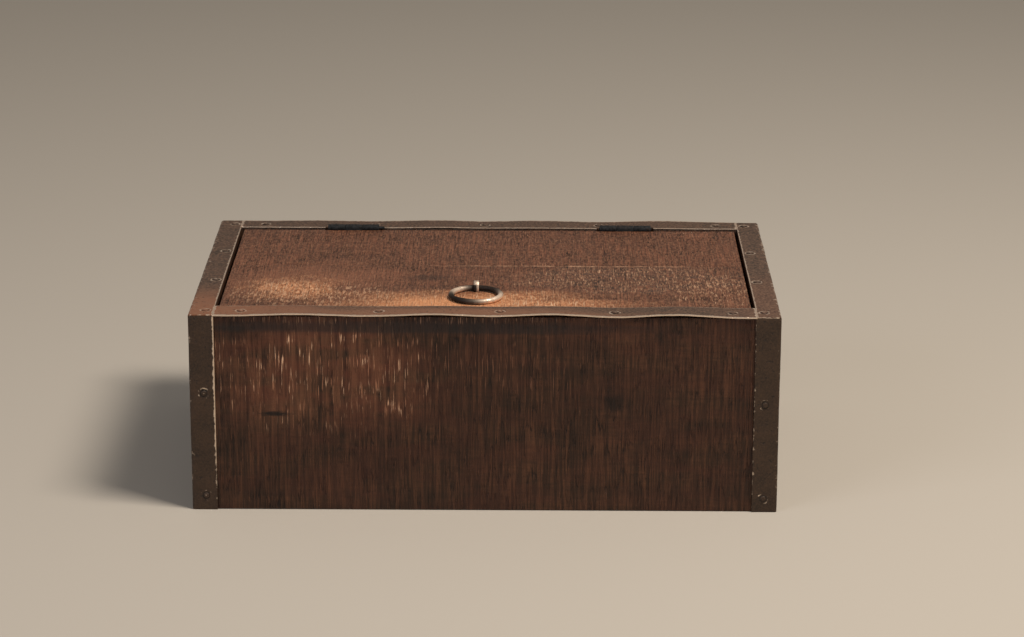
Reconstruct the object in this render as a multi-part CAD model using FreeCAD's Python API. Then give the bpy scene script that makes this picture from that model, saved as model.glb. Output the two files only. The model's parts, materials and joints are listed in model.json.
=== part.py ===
import FreeCAD, Part
import math
import os

from FreeCAD import Placement, Rotation, Vector

# Tea caddy: a plain rectangular wooden box for dry leaf tea, bound at its edges with thin
# copper strip. The lid is let in flush between the walls, turns on two small butt hinges
# and is lifted by a round pull that lies in a split staple. A tinned tray lines the inside.
#
# The origin is the middle of the underside. +Z is up, the front faces -Y, and +X is on the
# right of somebody who stands in front of the box. All sizes are in millimetres.

os.makedirs("parts", exist_ok=True)

X_AXIS, Y_AXIS, Z_AXIS = Vector(1, 0, 0), Vector(0, 1, 0), Vector(0, 0, 1)

# ---- Driving dimensions ---------------------------------------------------------------

CASE_WIDTH = 268.8          # wood only, left to right
CASE_DEPTH = 164.4          # wood only, front to back
CASE_HEIGHT = 93.4          # wood only
FRONT_THICKNESS = 14.0
BACK_THICKNESS = 11.4
END_THICKNESS = 10.4
BASE_THICKNESS = 10.0
BASE_REBATE = 5.0           # how far the base board reaches into the walls

STRIP_THICKNESS = 0.6
STRIP_WIDTH = 11.0          # each leg of the angle strips along the two ends
CORNER_WIDTH = 11.5         # front or back leg of the upright corner strips
CORNER_END_WIDTH = 11.0     # their other leg, on the end of the box
STRIP_BEND = 0.5            # outer radius of the bends
RIM_OVERHANG = 1.2          # how far the front and back rim strips stand out past the wood
STRIP_PLAY = 0.05           # play where two strips meet edge to edge

LID_THICKNESS = 9.8
LID_PROUD = 0.1             # lid top above the tops of the walls
LID_END_GAP = 1.7
LID_FRONT_GAP = 0.5
LID_FRONT_BEVEL = 0.5       # the front edge is planed back so that it clears as it swings
LID_SEAM_Y = 3.5            # glue joint between the two planks
HINGE_GAP = 2.6             # gap behind the lid

LEDGE_WIDTH = 6.5
LEDGE_HEIGHT = 12.0
LEDGE_PLAY = 0.05           # between the ledges and the lid

LINER_SHEET = 0.5
LINER_HEM = 5.0             # height of the folded hem
LINER_HEM_SHEET = 1.2
LINER_PLAY = 0.3            # all round, between the tray and the wood
LINER_DROP = 1.2            # tray's edge below the top of the ledges
LINER_CORNER = 2.0

HINGE_PLACES = {"left": -67.7, "right": 68.0}
HINGE_LENGTH = 25.4
LEAF_HEIGHT = 9.5           # from the pin's axis to the leaf's lower edge
LEAF_THICKNESS = 1.0
PIN_RADIUS = 0.75
PIN_FIT = 0.05              # radial running fit
PIN_CREEP = {"left": 2.4, "right": 0.0}     # the left pin has worked out to the right
PIN_HEAD = 0.4
KNUCKLES = 3
KNUCKLE_GAP = 0.15
HINGE_AXIS_RISE = 0.2       # pin's axis above the tops of the strips
NOTCH_SIDE = 1.5            # notch for the barrel, past each end of it
NOTCH_PLAY = 0.45           # notch for the barrel, all round it
SCREW_OFFSET = 8.0
SCREW_DROP = 6.0
SCREW_LENGTH = 8.0
SCREW_HEAD_RADIUS = 1.9
SCREW_SHANK_RADIUS = 0.9
SCREW_SLOT = (0.5, 0.45)    # width and depth

PULL_X = -4.5
PULL_Y = -39.7              # the middle of the staple
PULL_WIRE_RADIUS = 1.25
PULL_RING_RADIUS = 11.5     # to the middle of the wire
PULL_AXIS_RISE = 1.5        # the wire's middle above the lid, where it lies in the eye
PULL_PLAY = 0.1             # between the lying ring and the lid
EYE_INNER_RADIUS = 1.75
EYE_STRETCH = 0.7           # the eye is a little taller than it is wide
STAPLE_WIDTH = 2.4
STAPLE_THICKNESS = 0.9
STAPLE_FOOT = 8.0           # each leg, clenched under the lid
STAPLE_PLAY = 0.05

NAIL_HEAD_RADIUS = 1.2
NAIL_HEAD_HEIGHT = 0.45
NAIL_RADIUS = 0.6
NAIL_LENGTH = 8.0
NAIL_POINT = 1.4
HOLE_PLAY = 0.02
BRAD_RADIUS = 0.9
BRAD_LENGTH = 30.0

# Rise of the buckled rim strips above flat, as (x, rise) at their outer edge. They are
# held down at their nails and stand up in between.
FRONT_BUCKLES = [(-111.4, 0.1), (-84.0, 0.9), (-48.4, 0.2), (-24.0, 1.2), (6.9, 0.4),
                 (31.0, 1.4), (59.4, 0.1), (88.0, 1.3), (113.0, 0.1)]
BACK_BUCKLES = [(-112.0, 0.0), (-84.0, 0.3), (-57.0, 0.0), (-22.6, 0.6), (-2.0, 0.1),
                (23.0, 0.6), (55.0, 0.1), (83.0, 0.8), (113.5, 0.1)]
BUCKLE_AT_INNER_EDGE = 0.4  # share of the rise that is left at the edge beside the lid
RIM_NAILS_INSET = 7.0       # nail line, from the strip's outer edge
END_STRIP_NAILS = [-75.5, -25.0, 26.0, 76.0]
END_STRIP_NAIL_INSET = 7.4  # nail line of the top legs, from the outside of the end
END_LEG_NAILS = [-52.0, 0.0, 52.0]
CORNER_NAILS = {"front_left": [7.0, 56.5], "front_right": [6.6, 52.0],
                "back_left": [7.0, 54.0], "back_right": [7.0, 54.0]}
CORNER_END_NAILS = [20.0, 68.0]
CORNER_NAIL_INSET = 6.4

# ---- Places that follow from them -------------------------------------------------------

CASE_X = CASE_WIDTH / 2
CASE_Y = CASE_DEPTH / 2
METAL_X = CASE_X + STRIP_THICKNESS
METAL_Y = CASE_Y + STRIP_THICKNESS
METAL_TOP = CASE_HEIGHT + STRIP_THICKNESS
INNER_X = CASE_X - END_THICKNESS
INNER_FRONT = -CASE_Y + FRONT_THICKNESS
INNER_BACK = CASE_Y - BACK_THICKNESS

LID_X = INNER_X - LID_END_GAP
LID_FRONT = INNER_FRONT + LID_FRONT_GAP
LID_BACK = INNER_BACK - HINGE_GAP
LID_TOP = CASE_HEIGHT + LID_PROUD
LID_UNDERSIDE = LID_TOP - LID_THICKNESS
LEDGE_TOP = LID_UNDERSIDE - LEDGE_PLAY
LEDGE_X = INNER_X - LEDGE_WIDTH

HINGE_Y = (LID_BACK + INNER_BACK) / 2
HINGE_Z = METAL_TOP + HINGE_AXIS_RISE
BARREL_RADIUS = PIN_RADIUS + LEAF_THICKNESS
PULL_Z = LID_TOP + PULL_AXIS_RISE

pieces = {}


# ---- Small makers -----------------------------------------------------------------------

def block(low, high):
    """Box between two corners."""
    size = [b - a for a, b in zip(low, high)]
    return Part.makeBox(*size, Vector(*low))


def rod(radius, start, direction, length):
    return Part.makeCylinder(radius, length, Vector(*start), direction)


def turned(profile):
    """Solid of revolution about Z from a closed wire in the XZ plane."""
    return Part.Face(profile).revolve(Vector(0, 0, 0), Z_AXIS, 360)


def nail(length):
    """Domed nail: the underside of the head is at the origin and the point is towards -Z."""
    points = [Vector(0, 0, -length), Vector(NAIL_RADIUS, 0, -length + NAIL_POINT),
              Vector(NAIL_RADIUS, 0, 0), Vector(NAIL_HEAD_RADIUS, 0, 0)]
    # the dome is a cap of a ball whose middle lies on the nail's axis
    ball = (NAIL_HEAD_RADIUS ** 2 + NAIL_HEAD_HEIGHT ** 2) / (2 * NAIL_HEAD_HEIGHT)
    half_way = math.asin(NAIL_HEAD_RADIUS / ball) / 2
    crown = Vector(0, 0, NAIL_HEAD_HEIGHT)
    shoulder = Vector(ball * math.sin(half_way), 0, crown.z - ball + ball * math.cos(half_way))
    edges = [Part.makeLine(a, b) for a, b in zip(points, points[1:])]
    edges.append(Part.Arc(points[-1], shoulder, crown).toShape())
    edges.append(Part.makeLine(crown, points[0]))
    return turned(Part.Wire(edges))


def screw():
    """Slotted countersunk screw: the head's face is at the origin, the point towards -Z."""
    neck = LEAF_THICKNESS
    points = [Vector(0, 0, 0), Vector(SCREW_HEAD_RADIUS, 0, 0), Vector(SCREW_SHANK_RADIUS, 0, -neck),
              Vector(SCREW_SHANK_RADIUS * 0.75, 0, -SCREW_LENGTH + 1.5),
              Vector(0, 0, -SCREW_LENGTH), Vector(0, 0, 0)]
    width, depth = SCREW_SLOT
    slot = block((-SCREW_HEAD_RADIUS, -width / 2, -depth), (SCREW_HEAD_RADIUS, width / 2, depth))
    return turned(Part.makePolygon(points)).cut(slot)


def placed(shape, place, outward):
    """Copy of a fastener with its head at place, facing outward."""
    copy = shape.copy()
    copy.Placement = Placement(Vector(*place), Rotation(Z_AXIS, outward))
    return copy


def drill(names, place, outward, radius, length):
    """Cut the fastener's hole out of the named pieces."""
    start = Vector(*place) + outward * 1.0
    hole = Part.makeCylinder(radius + HOLE_PLAY, length + 1.2, start, -outward)
    for name in names:
        pieces[name] = pieces[name].cut(hole)


def nail_down(group, names, places, outward, length=NAIL_LENGTH):
    """Nails at the places, as one group, and their holes in the pieces they hold."""
    solids = []
    for place in places:
        drill(names, place, outward, NAIL_RADIUS, length)
        solids.append(placed(nail(length), place, outward))
    pieces.setdefault(group, []).extend(solids)


def mirrored_x(shape):
    return shape.mirror(Vector(0, 0, 0), X_AXIS)


def mirrored_y(shape):
    return shape.mirror(Vector(0, 0, 0), Y_AXIS)


# ---- Wooden case ------------------------------------------------------------------------

def make_case():
    base_x = INNER_X + BASE_REBATE
    base = block((-base_x, INNER_FRONT - BASE_REBATE, 0),
                 (base_x, INNER_BACK + BASE_REBATE, BASE_THICKNESS))
    front = block((-CASE_X, -CASE_Y, 0), (CASE_X, INNER_FRONT, CASE_HEIGHT))
    back = block((-CASE_X, INNER_BACK, 0), (CASE_X, CASE_Y, CASE_HEIGHT))
    right_end = block((INNER_X, INNER_FRONT, 0), (CASE_X, INNER_BACK, CASE_HEIGHT))
    pieces["base_board"] = base
    pieces["front_board"] = front.cut(base)
    pieces["back_board"] = back.cut(base)
    pieces["right_end_board"] = right_end.cut(base)
    pieces["left_end_board"] = mirrored_x(right_end).cut(base)


def make_ledges():
    low = LEDGE_TOP - LEDGE_HEIGHT
    side = block((LEDGE_X, INNER_FRONT, low), (INNER_X, INNER_BACK, LEDGE_TOP))
    pieces["right_lid_ledge"] = side
    pieces["left_lid_ledge"] = mirrored_x(side)
    pieces["front_lid_ledge"] = block((-LEDGE_X, INNER_FRONT, low),
                                      (LEDGE_X, INNER_FRONT + LEDGE_WIDTH, LEDGE_TOP))


def make_liner():
    """Open tray of tinned sheet with a folded hem along its top edge."""
    x = LEDGE_X - LINER_PLAY
    front, back = INNER_FRONT + LEDGE_WIDTH + LINER_PLAY, INNER_BACK - LINER_PLAY
    top = LEDGE_TOP - LINER_DROP

    def hollow(inset, low, high, corner):
        shape = block((-x + inset, front + inset, low), (x - inset, back - inset, high))
        upright = [e for e in shape.Edges if abs(e.tangentAt(e.FirstParameter).z) > 0.9]
        return shape.makeFillet(corner, upright)

    shell = hollow(0, BASE_THICKNESS, top, LINER_CORNER)
    inside = hollow(LINER_SHEET, BASE_THICKNESS + LINER_SHEET, top - LINER_HEM,
                    LINER_CORNER - LINER_SHEET)
    mouth = hollow(LINER_HEM_SHEET, BASE_THICKNESS + LINER_SHEET, top + 1,
                   LINER_CORNER - LINER_HEM_SHEET)
    pieces["tin_liner"] = shell.cut(inside).cut(mouth)


# ---- Copper strips ----------------------------------------------------------------------

def bent_edge(shape, a, b):
    """Round the one straight edge that runs from a to b."""
    ends = {tuple(round(v, 3) for v in a), tuple(round(v, 3) for v in b)}
    match = [e for e in shape.Edges
             if {tuple(round(c, 3) for c in v.Point) for v in e.Vertexes} == ends]
    return shape.makeFillet(STRIP_BEND, match)


def make_corner_strips():
    """Upright angles. The top 11 mm of the end leg is left off for the end strip."""
    end_leg_top = METAL_TOP - STRIP_WIDTH - STRIP_PLAY
    outside = block((-METAL_X, -METAL_Y, 0),
                    (-METAL_X + CORNER_WIDTH, -METAL_Y + CORNER_END_WIDTH, CASE_HEIGHT))
    wood = block((-CASE_X, -CASE_Y, -1), (0, 0, CASE_HEIGHT + 1))
    angle = bent_edge(outside.cut(wood), (-METAL_X, -METAL_Y, 0), (-METAL_X, -METAL_Y, CASE_HEIGHT))
    relief = block((-METAL_X - 1, -CASE_Y, end_leg_top), (0, 0, CASE_HEIGHT + 1))
    front_left = angle.cut(relief)
    pieces["front_left_corner_strip"] = front_left
    pieces["front_right_corner_strip"] = mirrored_x(front_left)
    pieces["back_left_corner_strip"] = mirrored_y(front_left)
    pieces["back_right_corner_strip"] = mirrored_x(mirrored_y(front_left))


def make_end_strips():
    """Angles along the top of each end, over the full depth of the box."""
    outside = block((INNER_X, -METAL_Y, METAL_TOP - STRIP_WIDTH), (METAL_X, METAL_Y, METAL_TOP))
    wood = block((0, -METAL_Y - 1, 0), (CASE_X, METAL_Y + 1, CASE_HEIGHT))
    # over the corner strips the end leg lies on the wood alone
    strip = bent_edge(outside.cut(wood), (METAL_X, -METAL_Y, METAL_TOP), (METAL_X, METAL_Y, METAL_TOP))
    upright_leg = block((CASE_X - 1, -METAL_Y - 1, 0), (METAL_X + 1, -CASE_Y, CASE_HEIGHT))
    strip = strip.cut(upright_leg).cut(mirrored_y(upright_leg))
    pieces["right_end_strip"] = strip
    pieces["left_end_strip"] = mirrored_x(strip)


def buckled_section(buckles, share, y):
    """Closed outline of a rim strip's section at one y: two wavy lines and two ends."""
    half = INNER_X - STRIP_PLAY
    knots = [(-half, 0.0)] + buckles + [(half, 0.0)]

    def wavy(level):
        curve = Part.BSplineCurve()
        curve.interpolate([Vector(x, y, level + rise * share) for x, rise in knots])
        return curve.toShape()

    lower, upper = wavy(CASE_HEIGHT), wavy(METAL_TOP)
    ends = [Part.makeLine(lower.valueAt(p), upper.valueAt(p))
            for p in (lower.FirstParameter, lower.LastParameter)]
    return Part.Wire([lower, ends[1], upper, ends[0]])


def make_rim_strip(name, inner_y, outer_y, buckles):
    sections = [buckled_section(buckles, BUCKLE_AT_INNER_EDGE, inner_y),
                buckled_section(buckles, 1.0, outer_y)]
    pieces[name] = Part.makeLoft(sections, True, True)


def make_rim_strips():
    outer = CASE_Y + RIM_OVERHANG
    make_rim_strip("front_rim_strip", INNER_FRONT, -outer, FRONT_BUCKLES)
    make_rim_strip("back_rim_strip", INNER_BACK, outer, BACK_BUCKLES)


# ---- Lid --------------------------------------------------------------------------------

def make_lid():
    slope = [Vector(-LID_X, LID_FRONT, LID_TOP), Vector(-LID_X, LID_SEAM_Y, LID_TOP),
             Vector(-LID_X, LID_SEAM_Y, LID_UNDERSIDE),
             Vector(-LID_X, LID_FRONT + LID_FRONT_BEVEL, LID_UNDERSIDE)]
    profile = Part.Face(Part.makePolygon(slope + slope[:1]))
    pieces["lid_front_plank"] = profile.extrude(Vector(2 * LID_X, 0, 0))
    pieces["lid_back_plank"] = block((-LID_X, LID_SEAM_Y, LID_UNDERSIDE), (LID_X, LID_BACK, LID_TOP))


# ---- Hinges -----------------------------------------------------------------------------

def knuckle_spans(start, odd):
    """(from, to) of the knuckles along X: the odd ones belong to the lid leaf."""
    pitch = HINGE_LENGTH / KNUCKLES
    return [(start + i * pitch + (KNUCKLE_GAP / 2 if i else 0),
             start + (i + 1) * pitch - (KNUCKLE_GAP / 2 if i < KNUCKLES - 1 else 0))
            for i in range(KNUCKLES) if i % 2 == odd]


def make_leaf(start, side):
    """One leaf with its knuckles. side is +1 for the box leaf and -1 for the lid leaf."""
    odd = 0 if side > 0 else 1
    near, far = sorted((HINGE_Y + side * PIN_RADIUS, HINGE_Y + side * BARREL_RADIUS))
    leaf = block((start, near, HINGE_Z - LEAF_HEIGHT), (start + HINGE_LENGTH, far, HINGE_Z))
    for low, high in knuckle_spans(start, 1 - odd):
        clearance = BARREL_RADIUS + KNUCKLE_GAP
        leaf = leaf.cut(block((low - KNUCKLE_GAP, HINGE_Y - clearance, HINGE_Z - clearance),
                              (high + KNUCKLE_GAP, HINGE_Y + clearance, HINGE_Z + clearance)))
    bore_radius = PIN_RADIUS + (PIN_FIT if side < 0 else HOLE_PLAY)
    for low, high in knuckle_spans(start, odd):
        leaf = leaf.fuse(rod(BARREL_RADIUS, (low, HINGE_Y, HINGE_Z), X_AXIS, high - low))
    leaf = leaf.cut(rod(bore_radius, (start - 1, HINGE_Y, HINGE_Z), X_AXIS, HINGE_LENGTH + 2))
    return leaf.removeSplitter()


def make_hinge(hand, centre):
    start = centre - HINGE_LENGTH / 2
    end = start + HINGE_LENGTH
    pieces[hand + "_hinge_box_leaf"] = make_leaf(start, 1)
    pieces[hand + "_hinge_lid_leaf"] = make_leaf(start, -1)

    pin_start = start - PIN_HEAD + PIN_CREEP[hand]
    pieces[hand + "_hinge_pin"] = rod(PIN_RADIUS, (pin_start, HINGE_Y, HINGE_Z), X_AXIS,
                                      HINGE_LENGTH + 2 * PIN_HEAD)

    # the leaves are let into the wood, and the barrel lies in a notch
    recess = block((start - HOLE_PLAY, HINGE_Y - BARREL_RADIUS - HOLE_PLAY, HINGE_Z - LEAF_HEIGHT - HOLE_PLAY),
                   (end + HOLE_PLAY, HINGE_Y + BARREL_RADIUS + HOLE_PLAY, HINGE_Z))
    reach = BARREL_RADIUS + NOTCH_PLAY
    notch = block((start - NOTCH_SIDE, HINGE_Y - reach, HINGE_Z - reach),
                  (end + NOTCH_SIDE, HINGE_Y + reach, HINGE_Z + reach))
    for name in ("lid_back_plank", "back_board", "back_rim_strip"):
        pieces[name] = pieces[name].cut(notch).cut(recess)

    for part, board, side in (("box", "back_board", 1), ("lid", "lid_back_plank", -1)):
        outward = Y_AXIS * -side
        group = []
        for offset in (-SCREW_OFFSET, SCREW_OFFSET):
            place = (centre + offset, HINGE_Y + side * PIN_RADIUS, HINGE_Z - SCREW_DROP)
            head = Part.makeCone(SCREW_HEAD_RADIUS + HOLE_PLAY, SCREW_SHANK_RADIUS + HOLE_PLAY,
                                 LEAF_THICKNESS, Vector(*place), -outward)
            leaf = f"{hand}_hinge_{part}_leaf"
            pieces[leaf] = pieces[leaf].cut(head)
            drill((leaf, board), place, outward, SCREW_SHANK_RADIUS, SCREW_LENGTH)
            group.append(placed(screw(), place, outward))
        pieces[f"{hand}_hinge_{part}_screws"] = group


# ---- Ring pull --------------------------------------------------------------------------

def oval_bar(radius, start_x, length):
    """Bar along X with two round ends, one on the pull's axis and one above it."""
    bottom = rod(radius, (start_x, PULL_Y, PULL_Z), X_AXIS, length)
    top = rod(radius, (start_x, PULL_Y, PULL_Z + EYE_STRETCH), X_AXIS, length)
    middle = block((start_x, PULL_Y - radius, PULL_Z), (start_x + length, PULL_Y + radius, PULL_Z + EYE_STRETCH))
    return bottom.fuse(top).fuse(middle).removeSplitter()


def make_staple():
    """Strap bent round into an eye; its two legs go through the lid and are clenched."""
    half = STAPLE_WIDTH / 2
    low = PULL_X - half
    outer = EYE_INNER_RADIUS + STAPLE_THICKNESS
    eye = oval_bar(outer, low, STAPLE_WIDTH)
    legs = block((low, PULL_Y - STAPLE_THICKNESS, LID_UNDERSIDE - STAPLE_THICKNESS),
                 (low + STAPLE_WIDTH, PULL_Y + STAPLE_THICKNESS, PULL_Z - EYE_INNER_RADIUS))
    feet = block((low, PULL_Y - STAPLE_FOOT, LID_UNDERSIDE - STAPLE_THICKNESS),
                 (low + STAPLE_WIDTH, PULL_Y + STAPLE_FOOT, LID_UNDERSIDE))
    hole = oval_bar(EYE_INNER_RADIUS, low - 1, STAPLE_WIDTH + 2)
    pieces["ring_staple"] = eye.fuse(legs).fuse(feet).cut(hole).removeSplitter()

    slot = block((low - STAPLE_PLAY, PULL_Y - STAPLE_THICKNESS - STAPLE_PLAY, LID_UNDERSIDE - 1),
                 (low + STAPLE_WIDTH + STAPLE_PLAY, PULL_Y + STAPLE_THICKNESS + STAPLE_PLAY, LID_TOP + 1))
    seat = rod(outer + STAPLE_PLAY, (low - STAPLE_PLAY, PULL_Y, PULL_Z), X_AXIS,
               STAPLE_WIDTH + 2 * STAPLE_PLAY)
    pieces["lid_front_plank"] = pieces["lid_front_plank"].cut(slot).cut(seat)


def make_pull():
    """Round wire ring that lies on the lid, towards the front, from the eye."""
    drop = PULL_AXIS_RISE - PULL_WIRE_RADIUS - PULL_PLAY
    tilt = math.asin(drop / (2 * PULL_RING_RADIUS))
    towards_front = Vector(0, -math.cos(tilt), -math.sin(tilt))
    normal = X_AXIS.cross(towards_front)
    centre = Vector(PULL_X, PULL_Y, PULL_Z) + towards_front * PULL_RING_RADIUS
    pieces["ring_pull"] = Part.makeTorus(PULL_RING_RADIUS, PULL_WIRE_RADIUS, centre, normal)
    return math.degrees(tilt)


# ---- Nails ------------------------------------------------------------------------------

def fasten_rim_strips():
    nail_y = CASE_Y + RIM_OVERHANG - RIM_NAILS_INSET
    for name, board, y, buckles in (("front_rim_strip", "front_board", -nail_y, FRONT_BUCKLES),
                                    ("back_rim_strip", "back_board", nail_y, BACK_BUCKLES)):
        # every other point of the wave is a nail
        places = [(x, y, METAL_TOP + rise) for x, rise in buckles[::2]]
        nail_down(name + "_nails", (name, board), places, Z_AXIS)


def fasten_end_strips():
    for hand, side in (("left", -1), ("right", 1)):
        strip, board = hand + "_end_strip", hand + "_end_board"
        boards = (strip, board, "front_board", "back_board")
        top = [(side * (METAL_X - END_STRIP_NAIL_INSET), y, METAL_TOP) for y in END_STRIP_NAILS]
        nail_down(strip + "_nails", boards, top, Z_AXIS)
        leg = [(side * METAL_X, y, METAL_TOP - END_STRIP_NAIL_INSET) for y in END_LEG_NAILS]
        nail_down(strip + "_nails", boards, leg, X_AXIS * side, NAIL_LENGTH)


def fasten_corner_strips():
    for corner, heights in CORNER_NAILS.items():
        face, hand = corner.split("_")
        y_side = -1 if face == "front" else 1
        x_side = -1 if hand == "left" else 1
        strip = corner + "_corner_strip"
        names = (strip, face + "_board", hand + "_end_board", "base_board")
        inset_x = x_side * (METAL_X - CORNER_NAIL_INSET)
        faces = [(inset_x, y_side * METAL_Y, z) for z in heights]
        nail_down(strip + "_nails", names, faces, Y_AXIS * y_side)
        ends = [(x_side * METAL_X, y_side * (METAL_Y - CORNER_NAIL_INSET), z) for z in CORNER_END_NAILS]
        nail_down(strip + "_nails", names, ends, X_AXIS * x_side)


def fasten_case():
    """Headless brads through the front and back boards, and nails up through the base."""
    brads = []
    x = CASE_X - END_THICKNESS / 2
    for x_side in (-1, 1):
        for board, y_side in (("front_board", -1), ("back_board", 1)):
            hand = "left_end_board" if x_side < 0 else "right_end_board"
            for z in (30.0, 47.0, 76.0):
                place = (x_side * x, y_side * CASE_Y, z)
                inward = Y_AXIS * -y_side
                brad = rod(BRAD_RADIUS, place, inward, BRAD_LENGTH)
                for name in (board, hand):
                    pieces[name] = pieces[name].cut(rod(BRAD_RADIUS + HOLE_PLAY, place, inward, BRAD_LENGTH))
                brads.append(brad)
    pieces["case_brads"] = brads

    ups = []
    rim = BASE_REBATE / 2
    along_x = [(x, y) for x in (-90.0, 0.0, 90.0) for y in (INNER_FRONT - rim, INNER_BACK + rim)]
    along_y = [(x, y) for x in (-INNER_X - rim, INNER_X + rim) for y in (-40.0, 40.0)]
    for x, y in along_x + along_y:
        brad = rod(BRAD_RADIUS, (x, y, 0), Z_AXIS, BRAD_LENGTH)
        hole = rod(BRAD_RADIUS + HOLE_PLAY, (x, y, 0), Z_AXIS, BRAD_LENGTH)
        for name in ("base_board", "front_board", "back_board", "left_end_board", "right_end_board"):
            pieces[name] = pieces[name].cut(hole)
        ups.append(brad)
    pieces["base_nails"] = ups


# ---- Build and write --------------------------------------------------------------------

make_case()
make_ledges()
make_liner()
make_corner_strips()
make_end_strips()
make_rim_strips()
make_lid()
for hinge_hand, hinge_x in HINGE_PLACES.items():
    make_hinge(hinge_hand, hinge_x)
make_staple()
tilt_degrees = make_pull()
fasten_rim_strips()
fasten_end_strips()
fasten_corner_strips()
fasten_case()

for node, shape in pieces.items():
    solid = Part.makeCompound(shape) if isinstance(shape, list) else shape
    solid.exportStep(f"parts/{node}.step")
    print(f"{node}: {len(solid.Solids)} solid, {solid.Volume:.0f} mm3, valid {solid.isValid()}")
print(f"lid hinge axis: y {HINGE_Y:.2f}, z {HINGE_Z:.2f}")
print(f"pull axis: y {PULL_Y:.2f}, z {PULL_Z:.2f}, ring lies at {tilt_degrees:.2f} degrees")
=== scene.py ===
# %% [markdown]
# # A wooden tea caddy bound with copper strip
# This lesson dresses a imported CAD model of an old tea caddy. The boards, the lid, the
# hinges and the ring keep the places that the CAD gives them. What is added here is
# everything that makes the box look old: eased edges, buckled strip, worn metal and
# wood with fine cracks.
#
# The first lines load the CAD as a fixed frame. Nothing below moves a CAD node.

import json
import math

import bpy
from mathutils import Matrix, Vector, noise
from mathutils.bvhtree import BVHTree


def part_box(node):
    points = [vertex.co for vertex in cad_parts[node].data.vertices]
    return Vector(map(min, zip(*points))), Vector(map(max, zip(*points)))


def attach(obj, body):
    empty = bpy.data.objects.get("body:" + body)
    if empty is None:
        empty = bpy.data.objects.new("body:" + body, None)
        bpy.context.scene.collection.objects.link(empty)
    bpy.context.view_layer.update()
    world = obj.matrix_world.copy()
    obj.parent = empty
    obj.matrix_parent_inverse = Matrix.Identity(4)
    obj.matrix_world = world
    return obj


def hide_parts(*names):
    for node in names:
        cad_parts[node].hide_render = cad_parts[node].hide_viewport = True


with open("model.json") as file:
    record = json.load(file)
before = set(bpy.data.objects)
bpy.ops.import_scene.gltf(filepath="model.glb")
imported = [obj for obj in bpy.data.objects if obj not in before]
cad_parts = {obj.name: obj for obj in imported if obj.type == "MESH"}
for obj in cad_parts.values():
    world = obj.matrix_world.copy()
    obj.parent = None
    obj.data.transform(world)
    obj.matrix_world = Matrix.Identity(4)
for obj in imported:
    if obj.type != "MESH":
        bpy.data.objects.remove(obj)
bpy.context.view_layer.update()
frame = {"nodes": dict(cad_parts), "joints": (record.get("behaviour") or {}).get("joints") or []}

# %% [markdown]
# ## Sizes
# Blender works in metres and a box maker works in millimetres, so one value turns one
# into the other. Every place is read from the CAD nodes: the corners of the boards say
# where the wood is, and the strips say how thick the metal is.

# %% Sizes and places from the frame
MM = 0.001
TINY = 0.05 * MM                # places closer than this count as the same

front_board_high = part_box("front_board")[1]
end_strip_low, end_strip_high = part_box("right_end_strip")
lid_low, lid_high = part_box("lid_front_plank")

WOOD_X = front_board_high.x
WOOD_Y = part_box("back_board")[1].y
WOOD_TOP = front_board_high.z
METAL_X, METAL_Y, METAL_TOP = end_strip_high
SHEET = METAL_X - WOOD_X
LID_TOP, LID_UNDERSIDE = lid_high.z, lid_low.z
print(f"wood {2 * WOOD_X / MM:.1f} x {2 * WOOD_Y / MM:.1f} x {WOOD_TOP / MM:.1f} mm,"
      f" sheet {SHEET / MM:.2f} mm")


# %% [markdown]
# ## Camera
# The box is seen from the front and a little from above, with a long lens, so that its
# upright edges stay nearly parallel. The camera stands about a metre and a half away and
# aims at a point just right of the middle of the box.

# %% Camera
CAMERA_PLACE = Vector((20.4, -1475.7, 511.6)) * MM
CAMERA_AIM = Vector((12.0, 0.0, 68.1)) * MM
CAMERA_ROLL = math.radians(0.18)
LENS_MM = 112.5
FILM_WIDTH_MM = 36.0
NEAREST_SEEN = 50 * MM

bpy.ops.object.camera_add(location=CAMERA_PLACE)
camera = bpy.context.object
camera.name = "viewpoint"
look = (CAMERA_AIM - CAMERA_PLACE).to_track_quat("-Z", "Y").to_matrix()
camera.rotation_euler = look.to_euler()
camera.rotation_euler.rotate_axis("Z", CAMERA_ROLL)
camera.data.lens = LENS_MM
camera.data.sensor_width = FILM_WIDTH_MM
camera.data.clip_start = NEAREST_SEEN
camera.data.dof.use_dof = False
bpy.context.scene.camera = camera
camera_tilt = math.degrees(math.pi / 2 - camera.rotation_euler.x)
print("camera looks down by", round(camera_tilt, 2), "degrees")


# %% [markdown]
# ## Floor and light
# The floor is plain and pale. One soft lamp hangs high on the right, a little in front
# of the box, so that the lid is about three times as bright as the front, and anything
# that stands up casts its shadow to the left. A weak lamp on the left and a grey world
# fill the shadows.

# %% Helpers for nodes, colours and materials
def add_node(tree, kind, links=None, **settings):
    """Add a shader node. links maps an input's name or number to a value or a socket."""
    node = tree.nodes.new(kind)
    for name, value in settings.items():
        setattr(node, name, value)
    for key, value in (links or {}).items():
        if isinstance(value, bpy.types.NodeSocket):
            tree.links.new(value, node.inputs[key])
        else:
            node.inputs[key].default_value = value
    return node


def linear(hex_colour):
    """The linear RGBA of an sRGB colour such as #4a3020."""
    parts = [int(hex_colour[i:i + 2], 16) / 255 for i in (1, 3, 5)]
    return [c / 12.92 if c <= 0.04045 else ((c + 0.055) / 1.055) ** 2.4 for c in parts] + [1.0]


def new_material(name):
    """A material with its node tree and its shader."""
    material = bpy.data.materials.new(name)
    material.use_nodes = True
    return material, material.node_tree, material.node_tree.nodes["Principled BSDF"]


# %% Floor
FLOOR_SIZE = 6.0                # metres, far past what the camera sees

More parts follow.
